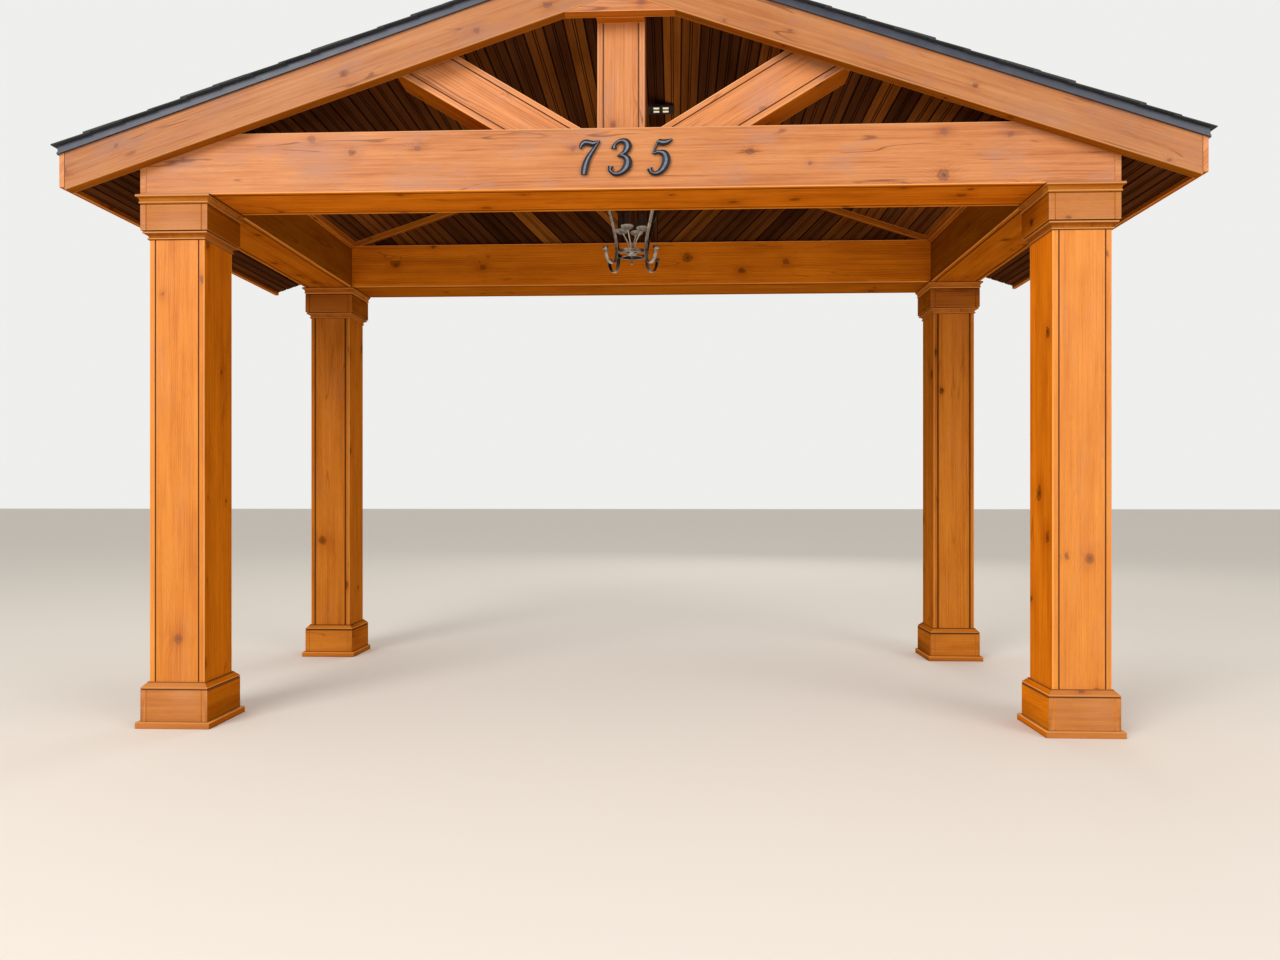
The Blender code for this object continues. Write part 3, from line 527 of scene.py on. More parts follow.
def enamelPaint(tree, look):  # grey pans, with bright stems and dark sleeves told apart by attributes
    place = objectPlace(tree)
    blotch = noiseNode(tree, place, 55.0, 4.0, 0.65)
    # the pans are darker away from their lips: painted shade, mottled by blotches
    shade = scaledSum(tree, readAttribute(tree, "lip"), -0.45, blotch)
    colour = mixColour(tree, rangeNode(tree, shade, 0.02, 0.55), look["pan"], look["stainAndShade"])
    colour = mixColour(tree, readAttribute(tree, "stem"), colour, look["stem"])
    colour = mixColour(tree, readAttribute(tree, "sleeve"), colour, look["bronze"])
    return {
        "Base Color": colour,
        "Roughness": scaledSum(tree, blotch, 0.25, look["roughness"] - 0.1),
        "Normal": bumpNode(tree, blotch, 0.15, 0.0008),
    }


makeMaterial("pale_enamel", enamelPaint, enamelLook)
print("stage 2: materials made,", len(materials))


# CAD wood, copied and given the grain of each board
axes = {"x": Vector((1, 0, 0)), "y": Vector((0, 1, 0)), "z": Vector((0, 0, 1))}


def alongAxis(kind, normal):
    if kind == "ring":  # mouldings that run round a post
        return axes["x"] if abs(normal.y) >= abs(normal.x) else axes["y"]
    return axes[kind] if isinstance(kind, str) else kind.normalized()


def faceIslands(work, degrees=25):  # faces of one board face, or of one rounded moulding
    limit = math.radians(degrees)
    left = set(work.faces)
    islands = []
    while left:
        seed = left.pop()
        island = [seed]
        queue = [seed]
        while queue:
            face = queue.pop()
            for edge in face.edges:
                for other in edge.link_faces:
                    if other in left and other.normal.angle(face.normal, math.pi) < limit:
                        left.discard(other)
                        island.append(other)
                        queue.append(other)
        islands.append(island)
    return islands


dressing = {
    "endGrain": 0.85,  # a face this square to the grain is a sawn end
    "grooveAngle": 0.6,
    "grooveWidth": 0.0056,
    "rimReach": 0.002,
    "seatReach": 0.001,
    "backStain": (0.35, 0.85),
    "shadeFrom": 0.4,  # the depth of painted shade from which a face takes the shaded material
    "shift": 30,
    "smoothDegrees": 28,
}


# -1 where this edge of the board is a joint or a seat, darkened partly as painted shade, 1 where it is eased and gets a
# painted highlight
def rimKind(island, inside, grooveFaces, across, level, seats):
    total = kind = 0.0
    for face in island:
        for edge in face.edges:
            others = [other.index for other in edge.link_faces if other.index not in inside]
            centre = (edge.verts[0].co + edge.verts[1].co) / 2
            if others and abs(centre.dot(across) - level) < dressing["rimReach"]:
                total += edge.calc_length()
                seated = any(abs(centre.z - seat) < dressing["seatReach"] for seat in seats)
                tight = seated or others[0] in grooveFaces or not edge.is_convex
                kind += edge.calc_length() * (-1.0 if tight else 1.0)
    return kind / total if total else 0.0


# face, under and inner are each a depth of painted shade, a lift (painted light or shade) and a fading
def dressWood(nodeName, along, slotName, face=(0.0, 1.0), under=(1.0, 1.0), inner=None, smooth=False):
    mesh, work = weldedCopy(nodeName, "Wood")
    bmesh.ops.dissolve_degenerate(work, edges=work.edges, dist=0.000001)
    work.normal_update()
    work.faces.ensure_lookup_table()
    dice = random.Random(nodeName + "0")
    middle = sum((vertex.co for vertex in work.verts), Vector()) / len(work.verts)
    heights = [vertex.co.z for vertex in work.verts]
    seats = (min(heights), max(heights)) if along == "ring" else ()  # where a moulding meets the ground or the beam, its edge darkened as a painted contact shadow
    islands = sorted(faceIslands(work), key=lambda found: min(face.index for face in found))
    boards = []
    grooveFaces = set()
    for island in islands:
        area = sum(face.calc_area() for face in island)
        if area <= 0:
            continue
        normal = sum((face.normal * face.calc_area() for face in island), Vector()).normalized()
        axis = alongAxis(along, normal)
        endGrain = abs(normal.dot(axis)) > dressing["endGrain"]
        if endGrain:  # sawn end: rings seen as arcs
            axis = normal.orthogonal()
        across = normal.cross(axis).normalized()
        points = [vertex.co for face in island for vertex in face.verts]
        lengths = [point.dot(axis) for point in points]
        inside = {face.index for face in island}
        hollow = any(
            edge.is_manifold and not edge.is_convex and edge.calc_face_angle(0) > dressing["grooveAngle"]
            for face in island for edge in face.edges
            if any(other.index not in inside for other in edge.link_faces)
        )
        # hollow narrow faces, such as V joints, notches and shadow gaps, are marked for darkening: dark joints and
        # partly painted shade
        if hollow and area / max(max(lengths) - min(lengths), 0.001) < dressing["grooveWidth"]:
            grooveFaces |= inside
        boards.append((island, inside, normal, axis, across, endGrain, points))
    dressed = {}
    for island, inside, normal, axis, across, endGrain, points in boards:
        shift = Vector([dice.uniform(-dressing["shift"], dressing["shift"]) for part in range(3)])
        tone = dice.random()
        # faces under things, inner faces and faces to the back take painted shade
        stainAndShade = face
        if normal.z < -0.5:
            stainAndShade = under
        elif abs(normal.x) > 0.7 and normal.x * middle.x < 0:
            stainAndShade = inner or face
        elif normal.y > 0.5:  # faces the back, and takes painted shade
            stainAndShade = dressing["backStain"]
        low = min(point.dot(across) for point in points)
        high = max(point.dot(across) for point in points)
        rims = (0.0, 0.0)
        if not endGrain:
            rims = tuple(rimKind(island, inside, grooveFaces, across, level, seats) for level in (low, high))
        for part in island:
            dressed[part.index] = (axis, across, shift, tone, (*stainAndShade, 0.0)[:3], (low, high), rims)
    closeMesh(mesh, work)
    columns = {"grain": [], "rims": [], "tone": [], "stainAndShade": [], "rimKinds": [], "grooveShade": []}
    for polygon in mesh.polygons:
        axis, across, shift, tone, stainAndShade, (low, high), rims = dressed[polygon.index]
        for index in polygon.vertices:
            point = mesh.vertices[index].co
            offset = point - middle
            columns["grain"].extend((offset.dot(axis) + shift.x, offset.dot(across) + shift.y, shift.z))
            columns["rims"].extend((point.dot(across) - low, high - point.dot(across), 0.0))
        columns["tone"].append(tone)
        columns["stainAndShade"].extend(stainAndShade)
        columns["rimKinds"].extend((*rims, 0.0))
        columns["grooveShade"].append(1.0 if polygon.index in grooveFaces else 0.0)
    for name, values in columns.items():
        kind = "FLOAT" if name in ("tone", "grooveShade") else "FLOAT_VECTOR"
        writeAttribute(mesh, name, kind, "CORNER" if name in ("grain", "rims") else "FACE", values)
    mesh.materials.clear()
    mesh.materials.append(materials[slotName])
    if slotName + "_shade" in materials:
        mesh.materials.append(materials[slotName + "_shade"])
        for polygon in mesh.polygons:
            polygon.material_index = 1 if dressed[polygon.index][4][0] > dressing["shadeFrom"] else 0
    if smooth:
        smoothByAngle(mesh, dressing["smoothDegrees"])
    else:
        mesh.shade_flat()
    return finishPiece(newObject(nodeName + "Wood", mesh), [nodeName])


leanOf = {"left": Vector((-1, 0, 0.60)), "right": Vector((1, 0, 0.60))}
slopeOf = {"left": Vector((-1, 0, -roof["rise"])), "right": Vector((1, 0, -roof["rise"]))}

# the stains given here are painted light and shade: each face's depth of shade and lift; the right post's inner faces
# are painted brighter than the left's
for end in ("left", "right"):
    paintedLight = 0.92 if end == "left" else 1.36
    dressWood(f"front_{end}_shaft", "z", "post_cedar", (0.0, 0.93), (0.5, 1.0), (1.0, 1.05 * paintedLight))
    dressWood(f"front_{end}_base", "ring", "post_cedar", (0.0, 0.73, 0.15), (0.5, 0.8), (1.0, paintedLight), smooth=True)
    inner = (1.0, 0.50 * paintedLight)
    dressWood(f"front_{end}_capital", "ring", "post_cedar", (0.0, 0.70, 0.30), (0.5, 0.66), inner, smooth=True)
    dressWood(f"back_{end}_shaft", "z", "post_cedar", (0.42, 0.78), (0.5, 1.0), (0.8, 0.8))
    dressWood(f"back_{end}_base", "ring", "post_cedar", (0.42, 0.78), (0.5, 1.0), (0.8, 0.8), smooth=True)
    dressWood(f"back_{end}_capital", "ring", "post_cedar", (0.42, 0.70), (0.5, 0.8), (0.9, 0.50), smooth=True)
    dressWood(f"side_beam_{end}", "y", "face_cedar", (1.0, 0.52), (1.0, 0.94))
    dressWood(f"strut_{end}", leanOf[end], "face_cedar", (0.0, 1.06), (0.95, 1.0))
    dressWood(f"rake_board_{end}", slopeOf[end], "face_cedar", (0.0, 0.70), (0.95, 0.60))
    dressWood(f"eave_fascia_{end}", "y", "face_cedar", (0.05, 1.0), (0.95, 0.9), (1.0, 0.7))
    dressWood(f"gable_trim_{end}", slopeOf[end], "face_cedar", (0.95, 0.95), (1.0, 0.85))
    dressWood(f"ceiling_trim_{end}", "y", "face_cedar", (0.95, 0.85), (1.0, 0.85))
    dressWood(f"roof_deck_{end}", slopeOf[end], "roof_framing")
dressWood("front_beam", "x", "face_cedar", (0.0, 0.90), (1.0, 1.36))
dressWood("back_beam", "x", "face_cedar", (1.0, 1.40), (1.0, 0.80))
dressWood("king_post", "z", "face_cedar", (0.0, 0.93), (0.95, 1.0))
dressWood("king_head_block", "x", "face_cedar", (0.10, 0.90), (0.95, 1.0))
dressWood("apex_plate", "x", "face_cedar", (0.0, 0.95), (0.9, 1.0))
print("stage 3: cedar boards dressed")


# repeated pieces, grown by node trees
def startTree(name, inputs):
    tree = bpy.data.node_groups.new(name, "GeometryNodeTree")
    tree.interface.new_socket("Geometry", in_out="INPUT", socket_type="NodeSocketGeometry")
    for label, kind, value in inputs:
        socket = tree.interface.new_socket(label, in_out="INPUT", socket_type=kind)
        if value is not None:
            socket.default_value = value
    tree.interface.new_socket("Geometry", in_out="OUTPUT", socket_type="NodeSocketGeometry")
    given = addNode(tree, "NodeGroupInput").outputs
    return tree, given, addNode(tree, "NodeGroupOutput")


def instanceNode(tree, points, instance, **others):
    inputs = {"Points": points, "Instance": instance, **others}
    return addNode(tree, "GeometryNodeInstanceOnPoints", inputs).outputs[0]


def lineNode(tree, count, offset, **others):
    inputs = {"Count": count, "Offset": offset, **others}
    return addNode(tree, "GeometryNodeMeshLine", inputs, mode="OFFSET").outputs[0]


def realNode(tree, geometry):
    return addNode(tree, "GeometryNodeRealizeInstances", {"Geometry": geometry}).outputs[0]


def endTree(tree, out, geometry, finish):  # real geometry in its own finish
    finished = addNode(tree, "GeometryNodeSetMaterial", {"Geometry": realNode(tree, geometry), "Material": finish})
    tree.links.new(finished.outputs[0], out.inputs[0])
    return tree


def keepAttribute(tree, geometry, name, kind, domain, value):
    inputs = {"Geometry": geometry, "Name": name, "Value": value}
    return addNode(tree, "GeometryNodeStoreNamedAttribute", inputs, data_type=kind, domain=domain).outputs[0]


def randomNode(tree, kind, low, high, seed, offset):
    inputs = {"Min": low, "Max": high, "Seed": mathNode(tree, "ADD", seed, offset)}
    node = addNode(tree, "FunctionNodeRandomValue", inputs, data_type=kind)
    return next(found for found in node.outputs if found.enabled)


def boardRunTree():  # one board repeated in equal steps, each with its own tone and grain
    tree, given, out = startTree("boardRun", [
        ("Board count", "NodeSocketInt", 10),
        ("Board step", "NodeSocketVector", (0.1, 0.0, 0.0)),
        ("Darkest tone", "NodeSocketFloat", 0.0),
        ("Palest tone", "NodeSocketFloat", 1.0),
        ("Seed", "NodeSocketInt", 1),
        ("Finish", "NodeSocketMaterial", None),
    ])
    run = instanceNode(tree, lineNode(tree, given["Board count"], given["Board step"]), given["Geometry"])
    tone = randomNode(tree, "FLOAT", given["Darkest tone"], given["Palest tone"], given["Seed"], 0)
    shift = randomNode(tree, "FLOAT_VECTOR", (-40.0, -40.0, -40.0), (40.0, 40.0, 40.0), given["Seed"], 7)
    toned = keepAttribute(tree, run, "tone", "FLOAT", "INSTANCE", tone)
    shifted = keepAttribute(tree, toned, "boardShift", "FLOAT_VECTOR", "INSTANCE", shift)
    return endTree(tree, out, shifted, given["Finish"])


def shingleTree():  # courses up the slope: a backing strip each, with tabs of random width laid on it
    tree, given, out = startTree("shingleCourses", [
        ("Course count", "NodeSocketInt", 17),
        ("Course step", "NodeSocketVector", (0.13, 0.0, 0.045)),
        ("Tab count", "NodeSocketInt", 12),
        ("Tab step", "NodeSocketFloat", 0.17),
        ("Tab start", "NodeSocketVector", (0.0, 0.0, 0.0)),
        ("Strip", "NodeSocketObject", None),
        ("Seed", "NodeSocketInt", 1),
        ("Finish", "NodeSocketMaterial", None),
    ])

    def dice(low, high, offset):
        return randomNode(tree, "FLOAT", low, high, given["Seed"], offset)

    courses = lineNode(tree, given["Course count"], given["Course step"])
    strip = addNode(tree, "GeometryNodeObjectInfo", {"Object": given["Strip"]}, transform_space="ORIGINAL")
    strips = instanceNode(tree, courses, strip.outputs["Geometry"])
    strips = keepAttribute(tree, strips, "tone", "FLOAT", "INSTANCE", dice(0.05, 0.5, 3))

    tabOffset = addNode(tree, "ShaderNodeCombineXYZ", {1: given["Tab step"]}).outputs[0]
    tabLine = lineNode(tree, given["Tab count"], tabOffset, **{"Start Location": given["Tab start"]})
    tabPoints = realNode(tree, instanceNode(tree, courses, tabLine))
    slip = addNode(tree, "ShaderNodeCombineXYZ", {1: dice(-0.030, 0.030, 11)}).outputs[0]
    moved = addNode(tree, "GeometryNodeSetPosition", {"Geometry": tabPoints, "Offset": slip}).outputs[0]
    size = addNode(tree, "ShaderNodeCombineXYZ", {0: 1.0, 1: dice(0.55, 1.02, 19), 2: 1.0}).outputs[0]
    tabs = instanceNode(tree, moved, given["Geometry"], Scale=size)
    tabs = keepAttribute(tree, tabs, "tone", "FLOAT", "INSTANCE", dice(0.0, 1.0, 23))

    joined = addNode(tree, "GeometryNodeJoinGeometry")
    tree.links.new(strips, joined.inputs[0])
    tree.links.new(tabs, joined.inputs[0])
    return endTree(tree, out, joined.outputs[0], given["Finish"])


def growNodes(item, tree, values):  # inputs by name, then the result as a plain mesh
    modifier = item.modifiers.new(tree.name, "NODES")
    modifier.node_group = tree
    for entry in tree.interface.items_tree:
        if entry.item_type == "SOCKET" and entry.in_out == "INPUT" and entry.name in values:
            modifier[entry.identifier] = values[entry.name]
    return plainMesh(item)


boardRun = boardRunTree()
shingleCourses = shingleTree()
print("stage 4: node trees built")


# beadboard ceilings and gable infill
bead = {
    "pitch": 0.0889,  # a nominal 4 inch board
    "eavePitch": 0.0840,
    "thickness": 0.0158,
    "grooveHalf": 0.0042,
    "grooveDepth": 0.0060,
    "beadHalf": 0.0075,
    "beadGap": 0.0048,
    "beadDepth": 0.0040,
    "roundReach": 0.62,  # where the bead's round starts and how deep, as shares of its gap and depth
    "roundDepth": 0.25,
    "crown": 0.0003,
    "eaveGap": 0.0006,
    "eaveBoards": 4,
    "darkest": 0.08,  # the range of tones, as shares of the stain's ramp
    "ceilingPalest": 0.86,
    "eavePalest": 0.42,
}


def beadSection(pitch):  # across the board, and up into it from its visible face
    middle = pitch / 2
    half, gap, deepOf = bead["beadHalf"], bead["beadGap"], bead["beadDepth"]
    return [
        (0.0, bead["grooveDepth"]),
        (bead["grooveHalf"], 0.0),
        (middle - half, 0.0),
        (middle - gap, deepOf),
        (middle - gap * bead["roundReach"], deepOf * bead["roundDepth"]),
        (middle, bead["crown"]),
        (middle + gap * bead["roundReach"], deepOf * bead["roundDepth"]),
        (middle + gap, deepOf),
        (middle + half, 0.0),
        (pitch - bead["grooveHalf"], 0.0),
        (pitch, bead["grooveDepth"]),
        (pitch, bead["thickness"]),
        (0.0, bead["thickness"]),
    ]


def beadBoard(name, pitch, length):  # runs along Y from 0, its face turned down
    work = bmesh.new()
    outline = beadSection(pitch)
    near, far = ([work.verts.new((x, y, z)) for x, z in outline] for y in (0.0, length))
    bridgeOutlines(work, near, far)
    mesh = bmeshToMesh(name, work)
    grain, grooveShades = [], []
    for polygon in mesh.polygons:
        points = [mesh.vertices[index].co for index in polygon.vertices]
        for point in points:
            grain.extend((point.y, point.x, point.z))
        height = sum(point.z for point in points) / len(points)
        # faces in the grooves and round the beads are marked for darkening: dark joints, partly painted shade
        grooveShades.append(1.0 if height > 0.0018 and polygon.normal.z < -0.1 else 0.0)
    writeAttribute(mesh, "grain", "FLOAT_VECTOR", "CORNER", grain)
    writeAttribute(mesh, "grooveShade", "FLOAT", "FACE", grooveShades)
    return mesh


# boards from front to back, laid down one slope
def slopeRun(name, side, low, high, startX, ridge, pitch, count, palest, seed):
    mesh = beadBoard(name, pitch, high.y - low.y)
    if side < 0:  # boards step outwards
        mesh.transform(Matrix.Translation((-pitch, 0, 0)))
    tilt = Matrix.Rotation(side * roof["tilt"], 4, "Y")
    mesh.transform(Matrix.Translation((side * startX, low.y, ridge - startX * roof["rise"])) @ tilt)
    step = Vector((side * pitch / roof["stretch"], 0, -pitch / roof["stretch"] * roof["rise"]))
    return growNodes(newObject(name, mesh), boardRun, {
        "Board count": count, "Board step": step, "Seed": seed,
        "Darkest tone": bead["darkest"], "Palest tone": palest, "Finish": materials["dark_beadboard"],
    })


# inside the beams, and lower as the eave soffit, whose last board is ripped to fit
def makeCeiling(end, side, seed):
    low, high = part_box(f"ceiling_{end}")
    length = (roof["beamX"] - roof["seam"]) * roof["stretch"]
    count = round(length / bead["pitch"])
    inside = slopeRun(
        f"insideRun{end}", side, low, high, roof["seam"], roof["ceilingRidge"],
        length / count, count, bead["ceilingPalest"], seed,
    )
    eave = slopeRun(
        f"eaveRun{end}", side, low, high, roof["beamX"], roof["soffitRidge"],
        bead["eavePitch"], bead["eaveBoards"], bead["eavePalest"], seed + 50,
    )
    clipBoards(eave, [(Vector((side * (roof["eaveX"] - bead["eaveGap"]), 0, 0)), Vector((side, 0, 0)))])
    boards = joinPieces(f"ceilingBoards{end.capitalize()}", [inside, eave])
    return finishPiece(boards, [f"ceiling_{end}"])


def clipBoards(item, planes):  # keeps what lies behind every plane
    work = openMesh(item.data)
    for point, normal in planes:
        geometry = list(work.verts) + list(work.edges) + list(work.faces)
        cut = bmesh.ops.bisect_plane(work, geom=geometry, plane_co=point, plane_no=normal, clear_outer=True)
        rim = [found for found in cut["geom_cut"] if isinstance(found, bmesh.types.BMEdge)]
        bmesh.ops.holes_fill(work, edges=rim, sides=0)
    bmesh.ops.recalc_face_normals(work, faces=work.faces)
    closeMesh(item.data, work)


infill = {
    "centreHalf": 0.120,
    "centreBoards": 4,
    "centrePalest": 0.35,
    "slant": math.radians(45),
    "slantBoards": 24,
    "spare": 0.3,  # of each slanted board's height, cut off at the slopes
    "startOut": 0.2,
    "startLow": 0.1,
    "tones": {-1: (0.0, 1.0), 1: (0.10, 0.86)},  # darkest and palest, stronger on the left
}


def makeInfill():
    low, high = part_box("gable_infill")
    roofNormal = Vector((roof["rise"], 0, 1)).normalized()
    pieces = []
    tall = high.z - low.z
    for side in (-1, 1):
        mesh = turnedBoard(beadBoard("infillBoard", bead["pitch"], (tall + infill["spare"]) * math.sqrt(2)))
        mesh.transform(Matrix.Rotation(side * infill["slant"], 4, "Y"))
        startX = side * (infill["centreHalf"] - tall - infill["startOut"])
        mesh.transform(Matrix.Translation((startX, low.y, low.z - infill["startLow"])))
        item = newObject(f"infillRun{side}", mesh)
        step = Vector((side * bead["pitch"] * math.sqrt(2), 0, 0))
        darkest, palest = infill["tones"][side]
        growNodes(item, boardRun, {
            "Board count": infill["slantBoards"], "Board step": step, "Seed": 21 + side,
            "Darkest tone": darkest, "Palest tone": palest, "Finish": materials["dark_beadboard"],
        })
        outer = Vector((side * roofNormal.x, 0, roofNormal.z))
        clipBoards(item, [
            (Vector((side * infill["centreHalf"], 0, 0)), Vector((-side, 0, 0))),
            (Vector((0, 0, low.z)), Vector((0, 0, -1))),
            (Vector((0, 0, high.z)), outer),
        ])
        pieces.append(item)
    width = 2 * infill["centreHalf"] / infill["centreBoards"]
    mesh = turnedBoard(beadBoard("infillCentre", width, tall))
    mesh.transform(Matrix.Translation((-infill["centreHalf"], low.y, low.z)))
    centre = newObject("infillCentreRun", mesh)
    growNodes(centre, boardRun, {
        "Board count": infill["centreBoards"], "Board step": Vector((width, 0, 0)), "Seed": 5,
        "Palest tone": infill["centrePalest"], "Finish": materials["dark_beadboard"],
    })
    top = Vector((0, 0, high.z))
    clipBoards(centre, [(top, Vector((side * roofNormal.x, 0, roofNormal.z))) for side in (-1, 1)])
    pieces.append(centre)
    return joinPieces("gableInfillBoards", pieces)


def turnedBoard(mesh):  # length upwards, visible face to the front
    mesh.transform(Matrix(((1, 0, 0, 0), (0, 0, 1, 0), (0, 1, 0, 0), (0, 0, 0, 1))))
    mesh.flip_normals()
    return mesh


def joinPieces(name, pieces):
    work = bmesh.new()
    for item in pieces:
        work.from_mesh(item.data)
    mesh = bmeshToMesh(name, work)
    for slotMaterial in pieces[0].data.materials:
        mesh.materials.append(slotMaterial)
    for item in pieces:
        bpy.data.objects.remove(item)
    return newObject(name, mesh)


makeCeiling("left", -1, 4)
makeCeiling("right", 1, 9)
finishPiece(makeInfill(), ["gable_infill"])
print("stage 5: beadboards laid")


# shingles
shingle = {
    "exposure": 0.143,
    "length": 0.172,
    "stripThickness": 0.0042,
    "tabThickness": 0.0034,
    "tabWidth": 0.150,
    "tabStep": 0.172,
    "tabCount": 12,
    "tabOverlap": 0.006,  # of a tab under the next course
    "tabLift": 0.0030,  # of the lower edges, from the courses beneath
    "stripLift": 0.0042,
    "tabSeat": 0.0012,
    "ridgeGap": 0.004,
    "flush": 0.0001,
    "capWidth": 0.300,
    "capLength": 0.205,
    "capThickness": 0.0045,
    "capLift": 0.0036,
    "ridgeSeat": 0.0085,
    "bend": (0.016, 0.0052),  # where the cap's bend starts: across, and down from the ridge
    "bendPeak": 0.0026,
}


# a thin tapered slab: x up the slope, y along the eave
def shingleSlab(name, width, length, thickness, lift, seat):
    work = bmesh.new()
    bmesh.ops.create_cube(work, size=1)
    for vertex in work.verts:
        along = vertex.co.x + 0.5
        height = (vertex.co.z + 0.5) * thickness + seat + lift * (1 - along)
        vertex.co = Vector((along * length, vertex.co.y * width, height))
    return bmeshToMesh(name, work)


def makeShingles(end, side, seed):
    low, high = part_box(f"shingles_{end}")
    depthY = high.y - low.y
    slopeLength = roof["shingleX"] * roof["stretch"]
    count = math.floor((slopeLength - shingle["length"]) / shingle["exposure"]) + 1
    exposure = (slopeLength - shingle["length"] - shingle["ridgeGap"]) / (count - 1)
    run, climb = 1 / roof["stretch"], roof["rise"] / roof["stretch"]
    slope = Matrix(((-side * run, 0, 0, 0), (0, -side, 0, 0), (climb, 0, 1, 0), (0, 0, 0, 1)))
    eaveZ = roof["deckRidge"] + roof["seam"] - roof["shingleX"] * roof["rise"]
    eave = Vector((side * roof["shingleX"], (low.y + high.y) / 2, eaveZ))
    seatAt = Matrix.Translation(eave) @ slope
    strip = shingleSlab(
        "shingleStrip", depthY - roof["seam"], shingle["length"],
        shingle["stripThickness"], shingle["stripLift"], 0.0,
    )
    strip.transform(seatAt)
    stripItem = newObject(f"shingleStrip{end}", strip)
    tab = shingleSlab(
        "shingleTab", shingle["tabWidth"], shingle["exposure"] + shingle["tabOverlap"],
        shingle["tabThickness"], shingle["tabLift"], shingle["stripThickness"] + shingle["tabSeat"],
    )
    tab.transform(slope)
    item = newObject(f"shingleCourses{end.capitalize()}", tab)
    tabCount = shingle["tabCount"]
    step = Vector((-side * exposure / roof["stretch"], 0, exposure / roof["stretch"] * roof["rise"]))
    start = eave + Vector((0, -(tabCount - 1) / 2 * shingle["tabStep"], 0))
    growNodes(item, shingleCourses, {
        "Course count": count, "Course step": step, "Tab count": tabCount, "Tab step": shingle["tabStep"],
        "Tab start": start, "Strip": stripItem, "Seed": seed, "Finish": materials["asphalt_shingle"],
    })
    bpy.data.objects.remove(stripItem)
    clampY(item.data, low.y, high.y)
    return finishPiece(item, [f"shingles_{end}"])


def clampY(mesh, lowY, highY):  # tabs end flush at the front and at the back
    for vertex in mesh.vertices:
        vertex.co.y = min(max(vertex.co.y, lowY + shingle["flush"]), highY - shingle["flush"])


makeShingles("left", -1, 3)
makeShingles("right", 1, 8)


def makeRidgeCaps():
    low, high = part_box("ridge_cap")
    half = shingle["capWidth"] / 2
    length, thickness = shingle["capLength"], shingle["capThickness"]
    ridge = high.z - shingle["ridgeSeat"]
    (reach, drop), peak, foot = shingle["bend"], shingle["bendPeak"], half * roof["rise"]
    bend = [(-half, foot), (-reach, drop), (0, peak), (reach, drop), (half, foot)]
    outline = [(x, -fall) for x, fall in bend] + [(x, thickness - fall) for x, fall in reversed(bend)]
    work = bmesh.new()
    ends = ((0.0, shingle["capLift"]), (length, 0.0))
    near, far = ([work.verts.new((x, y, ridge + z + lift)) for x, z in outline] for y, lift in ends)
    bridgeOutlines(work, near, far)
    bmesh.ops.translate(work, verts=work.verts, vec=(0, low.y, 0))
    item = newObject("ridgeCapShingles", bmeshToMesh("ridgeCapShingles", work))
    span = high.y - low.y
    count = math.ceil((span - length) / shingle["exposure"]) + 1
    step = (span - length - roof["seam"]) / (count - 1)
    growNodes(item, boardRun, {
        "Board count": count, "Board step": Vector((0, step, 0)), "Seed": 14,
        "Finish": materials["asphalt_shingle"],
    })
    return finishPiece(item, ["ridge_cap"])


makeRidgeCaps()
print("stage 6: roof covered")


# metal edges, vent and lantern keep their CAD shapes
for nodeName, finish in (
    ("rake_drip_left", "edge_metal"), ("rake_drip_right", "edge_metal"),
    ("eave_drip_left", "edge_metal"), ("eave_drip_right", "edge_metal"),
    ("ceiling_vent", "vent_black"),
):
    item = nodes[nodeName]
    for index in range(len(item.material_slots)):
        item.material_slots[index].material = materials[finish]


# the painted highlight on the lantern's metal: a share for facing up or down, a share for facing out, and its floor
metalHighlight = {"level": 0.60, "outward": 0.40, "least": -0.4, "smoothDegrees": 32}


def smoothCopy(nodeName, slotName):  # a painted highlight, strongest where it faces up, down or out
    mesh = closeMesh(*weldedCopy(nodeName, "Metal"))
    smoothByAngle(mesh, metalHighlight["smoothDegrees"])
    axis = ((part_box(nodeName)[0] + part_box(nodeName)[1]) / 2).to_2d()
    wearAndHighlight = []
    for polygon in mesh.polygons:
        outward = polygon.normal.to_2d().dot((polygon.center.to_2d() - axis).normalized())
        share = metalHighlight["level"] * abs(polygon.normal.z) + metalHighlight["outward"] * outward
        wearAndHighlight.append(min(max(share, metalHighlight["least"]), 1.0))
    writeAttribute(mesh, "wearAndHighlight", "FLOAT", "FACE", wearAndHighlight)
    mesh.materials.clear()
    mesh.materials.append(materials[slotName])
    return newObject(nodeName + "Metal", mesh)


for nodeName in ("lantern_stem", "lantern_frame"):
    finishPiece(smoothCopy(nodeName, "weathered_bronze"), [nodeName])

candle = {"sleeveHeight": 0.065, "footHeight": 0.027, "panDepth": 0.024, "lipDepth": 0.020}
candles = smoothCopy("lantern_candles", "pale_enamel")
candleLow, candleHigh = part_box("lantern_candles")
panTop = candleHigh.z - candle["sleeveHeight"]  # the sleeves stand up out of the pans
candleFoot = candleLow.z + candle["footHeight"]
sleeves, stems, lipLights = [], [], []
for polygon in candles.data.polygons:
    height = polygon.center.z
    sleeves.append(1.0 if height > panTop + 0.001 or height < candleFoot else 0.0)
    stems.append(1.0 if height < panTop - candle["panDepth"] else 0.0)
    # lighter near the pans' lips and darker below them, as painted shade
    lipLights.append(min(max(1 - (panTop - height) / candle["lipDepth"], 0.0), 1.0))
for name, values in (("sleeve", sleeves), ("stem", stems), ("lip", lipLights)):
    writeAttribute(candles.data, name, "FLOAT", "FACE", values)
finishPiece(candles, ["lantern_candles"])

